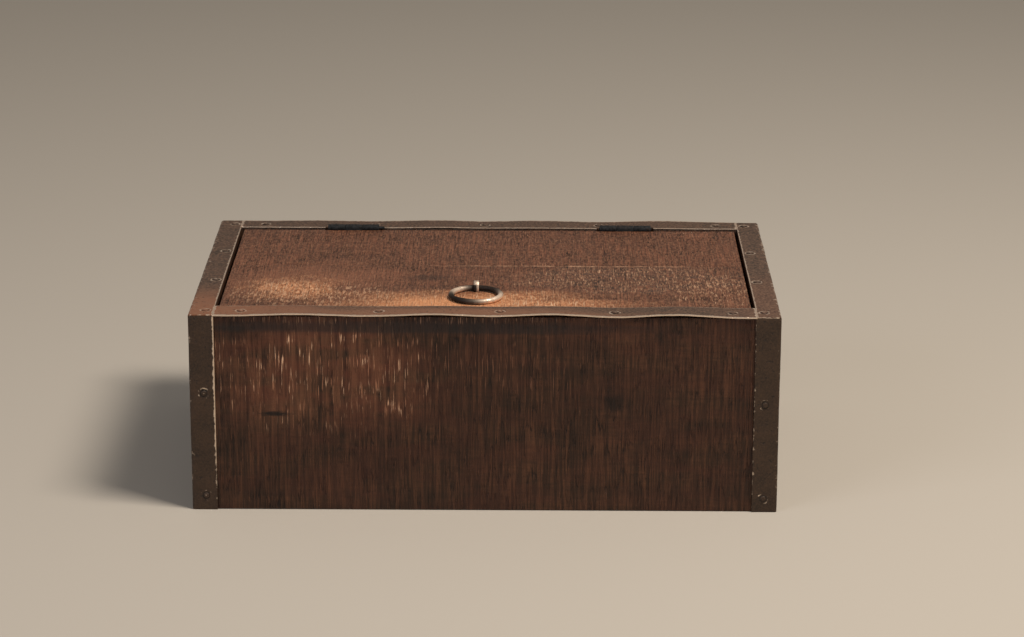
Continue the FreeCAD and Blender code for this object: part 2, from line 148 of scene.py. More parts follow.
bpy.ops.mesh.primitive_plane_add(size=FLOOR_SIZE, location=(0, 0, 0))
floor = bpy.context.object
floor.name = "pale_floor"
floor_paint, _, floor_shader = new_material("matt_pale_floor")
floor_shader.inputs["Base Color"].default_value = linear("#b9b2a8")
floor_shader.inputs["Roughness"].default_value = 0.9
floor.data.materials.append(floor_paint)
print("floor:", floor.name)


# %% Lamps and world
def soft_lamp(name, place, aim, size, watts, colour):
    """A square lamp of one size, all in metres, that looks from its place at its aim."""
    bpy.ops.object.light_add(type="AREA", location=place)
    lamp = bpy.context.object
    lamp.name = name
    lamp.rotation_euler = (Vector(aim) - Vector(place)).to_track_quat("-Z", "Y").to_euler()
    lamp.data.size = size
    lamp.data.energy = watts
    lamp.data.color = linear(colour)[:3]


soft_lamp("key_lamp", place=(0.62, -0.42, 1.35), aim=(0, 0, 0.08), size=0.45,
          watts=22.0, colour="#fff4e6")
soft_lamp("fill_lamp", place=(-1.3, -1.2, 0.9), aim=(0, 0, 0.05), size=1.0,
          watts=8.0, colour="#eef2ff")

world = bpy.data.worlds.new("grey_room")
bpy.context.scene.world = world
world.use_nodes = True
room_light = world.node_tree.nodes["Background"].inputs
room_light["Color"].default_value = linear("#a8a29a")
room_light["Strength"].default_value = 0.55
bpy.context.scene.view_settings.view_transform = "Standard"


# %% [markdown]
# ## Helpers for modelling
# Everything that an operator does, it does to the selection, and the loaded CAD nodes
# start out selected. So each new piece begins with nothing selected, and faces or
# points are picked in code by where they are.

# %% Selecting
def select_only(*pieces):
    if bpy.context.object and bpy.context.object.mode != "OBJECT":
        bpy.ops.object.mode_set(mode="OBJECT")
    bpy.ops.object.select_all(action="DESELECT")
    for piece in pieces:
        piece.select_set(True)
    if pieces:
        bpy.context.view_layer.objects.active = pieces[0]


def pick_faces(piece, test):
    """Go to edit mode with the faces selected whose (middle, normal) pass the test."""
    pick(piece, "FACE", [p.index for p in piece.data.polygons if test(p.center, p.normal)])


def pick_all_faces(piece):
    pick_faces(piece, lambda middle, normal: True)


def pick_edges(piece, test):
    """The same for edges: the test gets the two end points."""
    points = piece.data.vertices
    pick(piece, "EDGE", [e.index for e in piece.data.edges
                         if test(points[e.vertices[0]].co, points[e.vertices[1]].co)])


def pick(piece, kind, chosen):
    select_only(piece)
    bpy.ops.object.mode_set(mode="EDIT")
    bpy.ops.mesh.select_mode(type=kind)
    bpy.ops.mesh.select_all(action="DESELECT")
    bpy.ops.object.mode_set(mode="OBJECT")
    elements = piece.data.polygons if kind == "FACE" else piece.data.edges
    for index in chosen:
        elements[index].select = True
    bpy.ops.object.mode_set(mode="EDIT")


def leave_edit():
    bpy.ops.object.mode_set(mode="OBJECT")


# %% Applying modifiers
def apply_modifier(piece, kind, **settings):
    select_only(piece)
    modifier = piece.modifiers.new(kind.lower(), kind)
    for name, value in settings.items():
        setattr(modifier, name, value)
    bpy.ops.object.modifier_apply(modifier=modifier.name)


def ease(piece, width):
    """Take the sharpness off each edge that turns by more than 50 degrees."""
    apply_modifier(piece, "BEVEL", width=width, segments=2, limit_method="ANGLE",
                   angle_limit=math.radians(50))


def close_slivers(piece, reach=0.004 * MM):
    """Merge points that all but touch, so that no face is a sliver."""
    pick_all_faces(piece)
    bpy.ops.mesh.remove_doubles(threshold=reach)
    bpy.ops.mesh.dissolve_degenerate(threshold=reach)
    leave_edit()


def turn_outward(piece):
    """Make the normals of a closed piece point out of it."""
    pick_all_faces(piece)
    bpy.ops.mesh.normals_make_consistent(inside=False)
    leave_edit()


def roughen(piece, depth, cell, seed):
    """Uneven hand work: push the surface in and out by up to half the depth."""
    clouds = bpy.data.textures.new(f"{piece.name}_unevenness", "CLOUDS")
    clouds.noise_scale = cell
    clouds.noise_depth = 2
    # the pattern is slid along by the seed, so that no two pieces share their dents
    piece.data.transform(Matrix.Translation((seed, seed, seed)))
    apply_modifier(piece, "DISPLACE", texture=clouds, strength=depth, mid_level=0.5,
                   texture_coords="LOCAL", direction="NORMAL")
    piece.data.transform(Matrix.Translation((-seed, -seed, -seed)))


# %% Finishing a piece
def finish_piece(piece, name, body, material, replaces=(), smooth_degrees=35):
    """Put the object's place into its mesh, shade it, name it, give it its material, hang it on its
    body and hide the CAD nodes that it replaces.
    """
    select_only(piece)
    bpy.ops.object.transform_apply(location=True, rotation=True, scale=True)
    bpy.ops.object.shade_smooth_by_angle(angle=math.radians(smooth_degrees))
    piece.name = piece.data.name = name
    piece.data.materials.clear()
    piece.data.materials.append(material)
    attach(piece, body)
    for node in replaces:
        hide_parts(node)
    triangles = sum(len(p.vertices) - 2 for p in piece.data.polygons)
    print(f"{name}: {triangles} triangles on {body}")
    return piece


# %% [markdown]
# ## Old wood
# The wood is a hard reddish-brown timber, once oiled and now dry. Two things make it
# look old. Fine fibres stand up on the surface, half a millimetre apart and about a
# centimetre long, and time has drawn thin cracks and light, rubbed ridges along them.
# Under them lie the soft bands of the real grain, crossing the fibres, and stains.
#
# A noise texture has grains of one size, so Object coordinates are divided by the real
# size of a grain before they reach it. Long thin grains make fibres, and large ones
# make stains. Marks that lie in one place, such as a knot, are soft spots with a
# middle and three radii in millimetres.

# %% Patterns in real sizes
def grains(tree, grain_mm, detail, waver):
    """Noise whose grains are as long as grain_mm along X, Y and Z. waver bends them."""
    place = add_node(tree, "ShaderNodeTexCoord").outputs["Object"]
    scaled = add_node(tree, "ShaderNodeMapping",
                      {"Vector": place, "Scale": [1 / (g * MM) for g in grain_mm]})
    return add_node(tree, "ShaderNodeTexNoise",
                    {"Vector": scaled.outputs[0], "Scale": 1.0, "Detail": detail,
                     "Roughness": 0.55, "Distortion": waver}).outputs[0]


def streaks(tree, grain_mm, low=0.35, high=0.65, detail=2.0, waver=0.0):
    """A pattern of grains that runs from 0 where the noise is low to 1 where it is high."""
    return add_node(tree, "ShaderNodeMapRange", {"Value": grains(tree, grain_mm, detail, waver),
                                                 "From Min": low, "From Max": high}).outputs[0]


def thin_lines(tree, grain_mm, width, detail=2.0, waver=0.3):
    """Thin wavy lines along the grains, where the noise crosses its middle value."""
    off = add_node(tree, "ShaderNodeMath", {0: grains(tree, grain_mm, detail, waver), 1: 0.5},
                   operation="SUBTRACT").outputs[0]
    gap = add_node(tree, "ShaderNodeMath", {0: off}, operation="ABSOLUTE").outputs[0]
    return add_node(tree, "ShaderNodeMapRange",
                    {"Value": gap, "From Max": width, "To Min": 1.0, "To Max": 0.0}).outputs[0]


def spot(tree, middle_mm, radii_mm, edge=0.6, ragged=0.0):
    """1 in the middle of an ellipsoid and 0 outside it, with a soft and ragged edge."""
    place = add_node(tree, "ShaderNodeTexCoord").outputs["Object"]
    scale = [1 / (r * MM) for r in radii_mm]
    local = add_node(tree, "ShaderNodeMapping",
                     {"Vector": place, "Scale": scale,
                      "Location": [-m * MM * s for m, s in zip(middle_mm, scale)]})
    reach = add_node(tree, "ShaderNodeVectorMath", {0: local.outputs[0]},
                     operation="LENGTH").outputs["Value"]
    if ragged:
        wobble = streaks(tree, [r * 0.4 for r in radii_mm], 0.2, 0.8)
        push = add_node(tree, "ShaderNodeMath", {0: wobble, 1: ragged, 2: -ragged / 2},
                        operation="MULTIPLY_ADD").outputs[0]
        reach = add_node(tree, "ShaderNodeMath", {0: reach, 1: push}).outputs[0]
    return add_node(tree, "ShaderNodeMapRange",
                    {"Value": reach, "From Min": 1.0 - edge, "To Min": 1.0, "To Max": 0.0},
                    interpolation_type="SMOOTHSTEP").outputs[0]


# %% Joining patterns and colours
def times(tree, *masks):
    """All masks multiplied together."""
    product = masks[0]
    for mask in masks[1:]:
        product = add_node(tree, "ShaderNodeMath", {0: product, 1: mask},
                           operation="MULTIPLY").outputs[0]
    return product


def paint(tree, below, colour, mask, strength=1.0):
    """Lay a colour over what is below, as strongly as the mask and the strength say."""
    share = times(tree, mask, strength) if strength != 1.0 else mask
    above = colour if isinstance(colour, bpy.types.NodeSocket) else linear(colour)
    return add_node(tree, "ShaderNodeMix", {0: share, 6: below, 7: above},
                    data_type="RGBA").outputs[2]


def join_finish(tree, shader, colour, metallic, roughness, relief, relief_mm):
    """Join the parts of a finish to its shader.

    metallic and roughness are (mask, value where it is 0, value where it is 1), or one
    number. relief lists (height pattern, weight) pairs, which are summed for a bump.
    """
    tree.links.new(colour, shader.inputs["Base Color"])
    for name, value in (("Metallic", metallic), ("Roughness", roughness)):
        if isinstance(value, tuple):
            mask, low, high = value
            ramp = add_node(tree, "ShaderNodeMapRange",
                            {"Value": mask, "To Min": low, "To Max": high})
            tree.links.new(ramp.outputs[0], shader.inputs[name])
        else:
            shader.inputs[name].default_value = value
    height = 0.0
    for pattern, weight in relief:
        height = add_node(tree, "ShaderNodeMath", {0: pattern, 1: weight, 2: height},
                          operation="MULTIPLY_ADD").outputs[0]
    bump = add_node(tree, "ShaderNodeBump",
                    {"Height": height, "Strength": 1.0, "Distance": relief_mm * MM})
    tree.links.new(bump.outputs[0], shader.inputs["Normal"])


# %% [markdown]
# One recipe serves all the boards. It is told along which axis the fibres run, and it
# returns its parts, so that the front board and the lid can add their own marks before
# the shader is joined up.

# %% Sizes of the grain of old wood, as width and length
FIBRE_MM = (0.85, 22.0)         # standing fibres, drawn twice as wide as real
TUFT_MM = (2.4, 40.0)           # bundles of fibres
CRACK_MM = (2.4, 26.0)          # net of thin dark cracks
RIDGE_MM = (0.6, 11.0)          # ridges that hands have rubbed light
PEBBLE_MM = (1.3, 3.0)          # pits and bumps of a surface worn down to the pores
WEAVE_MM = (7.0, 1.1)           # short marks of the true grain, across the fibres
BAND_MM = (90.0, 6.0)           # its broad bands
GLINT_MM = (3.0, 7.0)           # painted glints: stretches of a ridge drawn brightest, where it catches the light
BREAK_MM = 9.0                  # patches between which the cracks break off
CLOUD_MM = 30.0                 # lighter and darker patches of the whole board


def grain(run, width, length):
    """Grain size along X, Y and Z for fibres that run along one axis."""
    size = [width] * 3
    size["XYZ".index(run)] = length
    return size


def across_grain(run, length, width):
    size = [length] * 3
    size["XYZ".index(run)] = width
    return size


# %% The recipe for old wood
class OldWood:
    """The layers of one wooden finish, kept open so that more can be painted on."""

    def __init__(self, name, run, tones, crack="#17100c"):
        self.material, self.tree, self.shader = new_material(name)
        self.draw_patterns(run)
        self.paint_layers(tones, crack)
        self.relief = [(self.fibres, -0.6), (self.cracks, -0.9), (self.ridges, 1.0),
                       (self.weave, -0.2)]

    def draw_patterns(self, run):
        tree = self.tree
        self.fibres = streaks(tree, grain(run, *FIBRE_MM), 0.41, 0.59, waver=0.15)
        self.tufts = streaks(tree, grain(run, *TUFT_MM), detail=3.0, waver=0.4)
        broken = streaks(tree, [BREAK_MM] * 3, 0.40, 0.58, detail=3.0)
        lines = thin_lines(tree, grain(run, *CRACK_MM), width=0.035, waver=0.1)
        self.cracks = times(tree, lines, broken)
        self.ridges = streaks(tree, grain(run, *RIDGE_MM), 0.6, 0.66, detail=1.0, waver=0.08)
        # the brightest stretches of the ridges, used for painted glints
        self.glints = times(tree, self.ridges, streaks(tree, grain(run, *GLINT_MM), 0.52, 0.62))
        self.pebbles = streaks(tree, grain(run, *PEBBLE_MM), 0.44, 0.66, detail=3.0)
        self.weave = streaks(tree, across_grain(run, *WEAVE_MM), 0.4, 0.66, detail=3.0)
        self.bands = streaks(tree, across_grain(run, *BAND_MM), detail=3.0)
        self.clouds = streaks(tree, [CLOUD_MM] * 3)

    def paint_layers(self, tones, crack):
        dark, middle, light = tones
        self.colour = linear(dark)
        self.lay(middle, self.clouds, 0.7)
        self.lay(light, self.bands, 0.35)
        self.lay(dark, self.weave, 0.45)
        self.lay(light, self.tufts, 0.35)
        self.lay(dark, self.fibres, 0.75)
        self.lay(crack, self.cracks, 0.85)

    def lay(self, colour, mask, strength=1.0):
        self.colour = paint(self.tree, self.colour, colour, mask, strength)

    def join(self, roughness=0.5, relief_mm=0.25):
        """Dirt makes the cracks duller than the wood round them."""
        join_finish(self.tree, self.shader, self.colour, 0.0,
                    (self.cracks, roughness, roughness + 0.25), self.relief, relief_mm)
        self.shader.inputs["Specular IOR Level"].default_value = 0.3
        return self.material


# %% The front board, the places where it is rubbed, and the painted highlight on its left half
SKIN_MM = 6.0                   # a mark goes no deeper into a board than this
front_wood = OldWood("old_wood_front_board", "Z", ("#24170f", "#4f3323", "#6c452f"))
tree = front_wood.tree


def front_spot(x, z, reach_x, reach_z, edge=0.6, ragged=0.0):
    """A spot on the front face of the box."""
    return spot(front_wood.tree, (x, -WOOD_Y / MM, z), (reach_x, SKIN_MM, reach_z), edge, ragged)


# Painted highlight: the left half of the front is drawn lighter and redder, with lighter ridges and
# fibre bundles and bright glints on the ridges, where the light falls; the ridges there are worn as
# well.
lit_and_rubbed_left = front_spot(-74, 66, 62, 34, ragged=0.4)
rubbed_middle = front_spot(0, 72, 70, 24, edge=0.8, ragged=0.5)
red = streaks(tree, [24.0, 24.0, 9.0], 0.42, 0.62)
front_wood.lay("#5f3022", times(tree, red, lit_and_rubbed_left), 0.55)
front_wood.lay("#4c281d", red, 0.3)
front_wood.lay("#8a5c42", times(tree, front_wood.tufts, lit_and_rubbed_left), 0.35)
front_wood.lay("#6f4a38", front_wood.ridges, 0.3)
front_wood.lay("#9c6c52", times(tree, front_wood.ridges, rubbed_middle), 0.35)
front_wood.lay("#b57f60", times(tree, front_wood.ridges, lit_and_rubbed_left), 0.65)
front_wood.lay("#f0c3a0", times(tree, front_wood.glints, lit_and_rubbed_left), 0.85)

# %% The dark stain under the rim, the split on the left and the two knots on the right
above_stain = front_spot(-50, 93, 110, 3.8, edge=0.4)
front_wood.lay("#211e1e", front_spot(-40, 88.3, 150, 4.2, ragged=0.35), 0.65)
front_wood.lay("#93705a", times(tree, front_wood.ridges, above_stain), 0.8)
front_wood.lay("#130e0c", front_spot(-96, 46.6, 9, 1.6, ragged=0.6), 0.9)
front_wood.lay("#17110e", front_spot(59, 52, 7, 8, edge=0.9, ragged=0.8), 0.7)
front_wood.lay("#17110e", front_spot(80, 84.4, 4, 5, edge=0.9, ragged=0.8), 0.6)
front_wood.join()
print("front board:", len(tree.nodes), "nodes")

# %% [markdown]
# The lid has been handled most. Its front edge and its left corner are rubbed light down
# to the pores, and a painted sheen makes them lighter and more orange still, as where the
# light falls on the lid. Its right half is worn grey and pitted, and a paler line shows
# where its two planks are glued together.

# %% The lid, with its grey worn half and its seam
lid_wood = OldWood("old_wood_lid", "Y", ("#432a1f", "#6b4230", "#8d5a42"))
tree = lid_wood.tree


def lid_spot(x, y, reach_x, reach_y, edge=0.6, ragged=0.0):
    """A spot on the upper face of the lid."""
    return spot(lid_wood.tree, (x, y, LID_TOP / MM), (reach_x, reach_y, SKIN_MM), edge, ragged)


grey_worn = lid_spot(70, -20, 64, 28, edge=0.35, ragged=0.5)
worn_end = lid_spot(108, -38, 30, 34, ragged=0.5)
flecks = streaks(tree, (0.8, 4.2, 4.2), 0.53, 0.62, detail=3.0)
pits = streaks(tree, (1.0, 3.5, 3.5), 0.55, 0.64, detail=3.0, waver=0.6)
lid_wood.lay("#4a3e39", times(tree, grey_worn, lid_wood.weave), 0.6)
lid_wood.lay("#33271f", times(tree, grey_worn, pits), 0.7)
for worn in (grey_worn, worn_end):
    lid_wood.lay("#ae8668", times(tree, worn, flecks), 0.5)
    lid_wood.lay("#e6c4a2", times(tree, worn, flecks, lid_wood.ridges), 0.7)
lid_wood.lay("#2e2420", times(tree, grey_worn, lid_wood.cracks), 0.9)
lid_wood.lay("#a97a5c", lid_wood.pebbles, 0.3)
lid_wood.lay("#96644b", lid_spot(-84, -22, 60, 42, edge=0.9, ragged=0.5), 0.4)
seam = times(tree, lid_spot(40, 3.0, 95, 1.3, edge=0.7), streaks(tree, [7.0] * 3, 0.4, 0.55))
lid_wood.lay("#c49a7c", seam, 0.7)

# %% The lid's rubbed front edge and left corner under a painted sheen, its rough left corner and the stain behind the ring
# painted sheen: the front edge and the left corner are drawn lighter and more orange, as if lit,
# over real rubbed wear
sheen_and_rubbed_front = lid_spot(-2, -60, 90, 24, edge=0.8, ragged=0.6)
sheen_and_rubbed_corner = lid_spot(-90, -38, 30, 24, edge=0.9, ragged=0.7)
for rubbed in (sheen_and_rubbed_front, sheen_and_rubbed_corner):
    lid_wood.lay("#b97a53", rubbed, 0.7)
    lid_wood.lay("#eab78c", times(tree, lid_wood.pebbles, rubbed), 0.55)
    lid_wood.lay("#f6cfa9", times(tree, lid_wood.ridges, rubbed), 0.7)
    lid_wood.lay("#5a3826", times(tree, lid_wood.cracks, rubbed), 0.8)
# painted sheen: the middle of the front edge, in front of the ring, is drawn brightest orange
lid_wood.lay("#d6966a", lid_spot(-16, -60, 42, 18, edge=0.9, ragged=0.5), 0.6)
rough_corner = lid_spot(-84, -44, 48, 28, ragged=0.5)
chips = streaks(tree, (0.95, 5.0, 5.0), 0.56, 0.62, detail=1.5, waver=0.4)
lid_wood.lay("#4e3022", times(tree, rough_corner, pits), 0.65)
lid_wood.lay("#e4b894", times(tree, rough_corner, chips), 0.4)
lid_wood.lay("#a87a60", lid_wood.ridges, 0.3)
lid_wood.lay("#34261f", lid_spot(-27, -18, 17, 9, edge=0.9, ragged=0.7), 0.6)
lid_wood.relief.append((lid_wood.pebbles, 0.7))
lid_wood.join()
print("lid:", len(tree.nodes), "nodes")

# %% Finish of the other boards
side_wood = OldWood("old_wood_sides", "Z", ("#23170f", "#4a3022", "#5f3e2b"))
side_wood.lay("#8a6048", side_wood.ridges, 0.3)
side_wood.join()
inner_wood = OldWood("old_wood_inside", "X", ("#3d2b20", "#5f422f", "#735339"))
inner_wood.join(roughness=0.7)
print("wood finishes:", [m.name for m in bpy.data.materials if "wood" in m.name])


# %% [markdown]
# ## Boards
# A plane leaves a board flat but never quite even, and a box that is a century old has
# no sharp edge left. Each board starts as a cube at its CAD size, and its edges are eased
# with a small bevel. The rebate and the notches are then cut out with boolean modifiers,
# as a saw would cut them, and the faces are divided into a net that a displacement can
# push in and out by a tenth of a millimetre.

# %% Blocks, cuts and nets
def block(low, high):
    """A cube between two corners, with its place in its mesh."""
    select_only()
    low, high = Vector(low), Vector(high)
    bpy.ops.mesh.primitive_cube_add(size=1.0, location=(low + high) / 2)
    cube = bpy.context.object
    cube.scale = high - low
    bpy.ops.object.transform_apply(location=True, rotation=True, scale=True)
    return cube


def cut_out(piece, low, high):
    cutter = block(low, high)
    apply_modifier(piece, "BOOLEAN", object=cutter, operation="DIFFERENCE", solver="EXACT")
    bpy.data.objects.remove(cutter)


def divide(piece, spacing):
    """Cut the piece by planes across X, Y and Z so that no face is longer than spacing."""
    corners = [Vector(c) for c in piece.bound_box]
    low = Vector([min(c[i] for c in corners) for i in range(3)])
    high = Vector([max(c[i] for c in corners) for i in range(3)])
    select_only(piece)
    bpy.ops.object.mode_set(mode="EDIT")
    for axis in range(3):
        count = int((high[axis] - low[axis]) / spacing)
        normal = [float(i == axis) for i in range(3)]
        for step in range(1, count + 1):
            place = low.copy()
            place[axis] += (high[axis] - low[axis]) * step / (count + 1)
            bpy.ops.mesh.select_all(action="SELECT")
            bpy.ops.mesh.bisect(plane_co=place, plane_no=normal)
    leave_edit()


# %% Making a board
BOARD_NET = 5.0 * MM
PLANE_MARKS = 20.0 * MM         # length of the hollows that a hand plane leaves


def make_board(node, material, body, cuts=(), eased_mm=0.6, uneven_mm=0.12, seed=0.0):
    board = block(*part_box(node))
    board.name = node + "_worn"
    apply_modifier(board, "BEVEL", width=eased_mm * MM, segments=3, limit_method="ANGLE")
    for cut_low, cut_high in cuts:
        cut_out(board, cut_low, cut_high)
    divide(board, BOARD_NET)
    close_slivers(board)
    roughen(board, uneven_mm * MM, PLANE_MARKS, seed)
    finish_piece(board, node + "_worn", body, material, (node,))


# %% [markdown]
# The barrel of each hinge lies in a notch that is cut into the lid, the back board and
# the strip above it. Below the notch the two leaves are let into the wood. The staple of
# the ring sits in a small seat, and its legs go down through a slot.

# %% What is cut out for the hinges and the staple
NOTCH_SIDE = 1.5 * MM           # past each end of the barrel
NOTCH_PLAY = 0.45 * MM          # round the barrel
RECESS_PLAY = 0.1 * MM
THROUGH = 5.0 * MM              # how far a cutter runs past a surface

hinge_cuts = []
for hand in ("left", "right"):
    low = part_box(hand + "_hinge_lid_leaf")[0]
    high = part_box(hand + "_hinge_box_leaf")[1]
    barrel_floor = high.z - (high.y - low.y) - NOTCH_PLAY
    round_barrel = Vector((NOTCH_SIDE, NOTCH_PLAY, 0))
    round_leaves = Vector((RECESS_PLAY, RECESS_PLAY, 0))
    below_leaves = Vector((RECESS_PLAY, RECESS_PLAY, RECESS_PLAY))
    hinge_cuts.append((Vector((low.x, low.y, barrel_floor)) - round_barrel, high + round_barrel))
    hinge_cuts.append((low - below_leaves, high + round_leaves))
print("hinge cuts:", len(hinge_cuts))

# %% The case boards
base_low, base_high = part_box("base_board")
rebate = (base_low - Vector((0, 0, THROUGH)), base_high)
sides = side_wood.material
make_board("front_board", front_wood.material, "case", [rebate], seed=0.31)
make_board("back_board", sides, "case", [rebate] + hinge_cuts, seed=0.47)
make_board("left_end_board", sides, "case", [rebate], seed=0.59)
make_board("right_end_board", sides, "case", [rebate], seed=0.73)
make_board("base_board", inner_wood.material, "case", seed=0.83)

# %% The lid planks
SLOT_HALF = 1.0 * MM            # the two legs of the staple side by side
SEAT_HALF = 2.3 * MM            # the lower part of its eye
SEAT_DEPTH = 2.7 * MM           # below the axis that the ring turns about
LID_EASED_MM = 0.5

staple_low, staple_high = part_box("ring_staple")
pull_joint = next(j for j in frame["joints"] if j["name"] == "pull_swing")
PULL_AXIS = Vector(pull_joint["pos_m"])


def staple_cut(half, bottom, top):
    """A cut as wide as the strap, and as far in front of the ring's axis as behind it."""
    return (Vector((staple_low.x - TINY, PULL_AXIS.y - half, bottom)),
            Vector((staple_high.x + TINY, PULL_AXIS.y + half, top)))


staple_cuts = [staple_cut(SEAT_HALF, PULL_AXIS.z - SEAT_DEPTH, LID_TOP + THROUGH),
               staple_cut(SLOT_HALF, 0, LID_TOP)]
for node, cuts, seed in (("lid_front_plank", staple_cuts, 0.13),
                         ("lid_back_plank", hinge_cuts, 0.17)):
    make_board(node, lid_wood.material, "lid", cuts, LID_EASED_MM, seed=seed)

# %% The ledges that the lid rests on, of bare softwood
SOFTWOOD_TONES = ("#8a6a48", "#a9875f", "#b99669")

ledge_wood = {run: OldWood(name, run, SOFTWOOD_TONES).join(roughness=0.75, relief_mm=0.1)
              for run, name in (("Y", "bare_softwood"), ("X", "bare_softwood_across"))}
for node, run in (("left_lid_ledge", "Y"), ("right_lid_ledge", "Y"), ("front_lid_ledge", "X")):
    make_board(node, ledge_wood[run], "case", eased_mm=0.4, uneven_mm=0.06, seed=0.9)

# %% [markdown]
# ## Copper strip
# The strip is sheet copper a little over half a millimetre thick, cut by hand and bent
# over a straight edge. Air and hands have browned it. Browned copper hardly mirrors: the
# brown is a skin of oxide, so the finish is only partly metallic and quite rough. Where
# the strip is handled, along its cut edges, bends and nail heads, the skin is rubbed
# through and the pale copper shows. The same pale copper is laid on more strongly as a
# painted highlight along the outer edges of the rim strips, the inner edges of the left
# uprights and a ring round each nail. Dirt stays round the nails. Each strip carries a
# "wear" value on its points: 1 at a rubbed or highlit edge, 0 in the open, -1 where dirt
# has settled. Noise breaks it up.

# %% Finish of the browned copper
def stored_wear(tree):
    return add_node(tree, "ShaderNodeAttribute", attribute_name="wear").outputs["Fac"]


def browned_copper(name, tones, bright, rubbed_share, handled=()):
    """Brown oxide skin over copper. handled lists (tone, middle, radii) of cleaner places."""
    dark, middle, light = tones
    material, tree, shader = new_material(name)
    blotches = streaks(tree, [9.0] * 3, 0.3, 0.7, detail=5.0)
    specks = streaks(tree, [0.9] * 3, 0.4, 0.68, detail=4.0)
    pits = streaks(tree, [1.5] * 3, 0.62, 0.72)
    dents = streaks(tree, [4.5] * 3, 0.2, 0.8)
    broken = streaks(tree, [2.2] * 3, 0.3, 0.7, detail=4.0)
    wear = stored_wear(tree)
    worn = add_node(tree, "ShaderNodeMath", {0: broken, 1: 0.7, 2: wear},
                    operation="MULTIPLY_ADD").outputs[0]
    rubbed = add_node(tree, "ShaderNodeMapRange",
                      {"Value": worn, "From Min": 1.05 - rubbed_share,
                       "From Max": 1.45 - rubbed_share}).outputs[0]
    grime = add_node(tree, "ShaderNodeMapRange",
                     {"Value": wear, "From Min": -1.0, "From Max": 0.0,
                      "To Min": 1.0, "To Max": 0.0}).outputs[0]
    colour = paint(tree, linear(dark), middle, blotches)
    for tone, middle_mm, radii_mm in handled:
        cleaner = spot(tree, middle_mm, radii_mm, edge=0.9, ragged=0.5)
        colour = paint(tree, colour, tone, cleaner, 0.75)
    colour = paint(tree, colour, light, specks, 0.6)
    colour = paint(tree, colour, "#1d1613", pits, 0.7)
    colour = paint(tree, colour, "#15100d", grime, 0.85)
    # pale copper where the stored value is high: rubbed metal, and in places a painted highlight
    colour = paint(tree, colour, bright, rubbed)
    relief = [(dents, 1.0), (specks, 0.12), (pits, -0.3)]
    join_finish(tree, shader, colour, (rubbed, 0.25, 0.85), (rubbed, 0.56, 0.36), relief, 0.25)
    return material


# %% The two shades of the copper: the top strips are handled more than the upright ones
HANDLED_TOP = [("#966247", (-122, -78, 94), (80, 50, 30)),      # the front left corner
               ("#8a5d45", (-20, -80, 94), (130, 14, 30)),      # the front rim
               ("#5a3f32", (130, -60, 94), (40, 60, 30))]       # the front right corner

top_copper = browned_copper("browned_copper_top", ("#332a23", "#4a382f", "#8b6b56"),
                            "#f2dac4", rubbed_share=0.32, handled=HANDLED_TOP)
upright_copper = browned_copper("browned_copper_upright", ("#2d2118", "#412f22", "#503b2a"),
                                "#ecd4bc", rubbed_share=0.28)
print("copper finishes:", top_copper.name, upright_copper.name)

# %% [markdown]
# A strip starts as a narrow net of faces along one free edge. The far edge of the net
# is extruded step by step across the leg, spun a quarter turn for the bend, and extruded
# again down the other leg. The steps are fine beside the edges, where the wear is.
#
# The strips are hand-cut and have been knocked about, so smooth noise lifts them a
# little off the wood, and each nail draws the sheet down into a shallow dimple.

# %% Laying and folding a sheet
NET = 1.5 * MM                  # spacing of the net along a strip
EDGE_STEPS = [0.3 * MM, 0.4 * MM, 0.7 * MM, 1.1 * MM]
WIDE_STEP = 2.0 * MM
BEND_STEPS = 4
BEND_RADIUS = 0.8 * MM


def rows_across(width, far_edge_free=False):
    """Widths of the rows of faces across a leg, narrow beside its free edges."""
    ends = sum(EDGE_STEPS) * (2 if far_edge_free else 1)
    count = max(2, round((width - ends) / WIDE_STEP))
    rows = EDGE_STEPS + [(width - ends) / count] * count
    return rows + EDGE_STEPS[::-1] if far_edge_free else rows


def widen(across, rows):
    """Extrude the selected edge across the leg, one row after another."""
    for width in rows:
        bpy.ops.mesh.extrude_region_move(TRANSFORM_OT_translate={"value": Vector(across) * width})


def lay_sheet(start, run, across, length, rows, net=NET):
    """Net from start, length along run, with a row of faces for each width in rows.

    The far edge is left selected in edit mode, ready for a bend.
    """
    select_only()
    bpy.ops.mesh.primitive_grid_add(x_subdivisions=max(1, round(length / net)), y_subdivisions=1,
                                    size=1.0)
    sheet = bpy.context.object
    run, across, start = Vector(run), Vector(across), Vector(start)
    turn = Matrix((run * length, across * rows[0], run.cross(across))).transposed().to_4x4()
    middle = start + run * length / 2 + across * rows[0] / 2
    sheet.matrix_world = Matrix.Identity(4)
    sheet.data.transform(Matrix.Translation(middle) @ turn)
    half_row = start.dot(across) + rows[0] / 2
    pick_edges(sheet, lambda a, b: min(a.dot(across), b.dot(across)) > half_row)
    widen(across, rows[1:])
    return sheet


def fold(centre, axis, angle=math.pi / 2, steps=BEND_STEPS):
    """Turn the selection about an axis by the right-hand rule. The operator turns the other way."""
    bpy.ops.mesh.spin(steps=steps, angle=-angle, center=centre, axis=axis)


def face_outward(sheet, place, outward):
    """Turn all normals to one side, so that the face nearest to place looks outward."""
    leave_edit()
    pick_all_faces(sheet)
    bpy.ops.mesh.remove_doubles(threshold=0.01 * MM)
    bpy.ops.mesh.normals_make_consistent(inside=False)
    leave_edit()
    nearest = min(sheet.data.polygons, key=lambda p: (p.center - Vector(place)).length)
    if nearest.normal.dot(Vector(outward)) < 0:
        pick_all_faces(sheet)
        bpy.ops.mesh.flip_normals()
        leave_edit()


# %% Hammering and thickening a sheet
LONG_WAVES = (45.0, 0.16)       # waves to the metre, about 22 mm long, and their height in mm
SHORT_WAVES = (170.0, 0.07)     # about 6 mm long
DIMPLE_DEPTH = 0.16             # how far a nail draws the sheet down, in mm
DIMPLE_REACH = 2.2              # and how wide the dimple is
LOWEST = -0.05                  # the sheet gives way no further, in mm
SHEET_EASED = 0.12 * MM
FINE_NET_REACH = 4.2 * MM       # the net is divided again this far round a nail


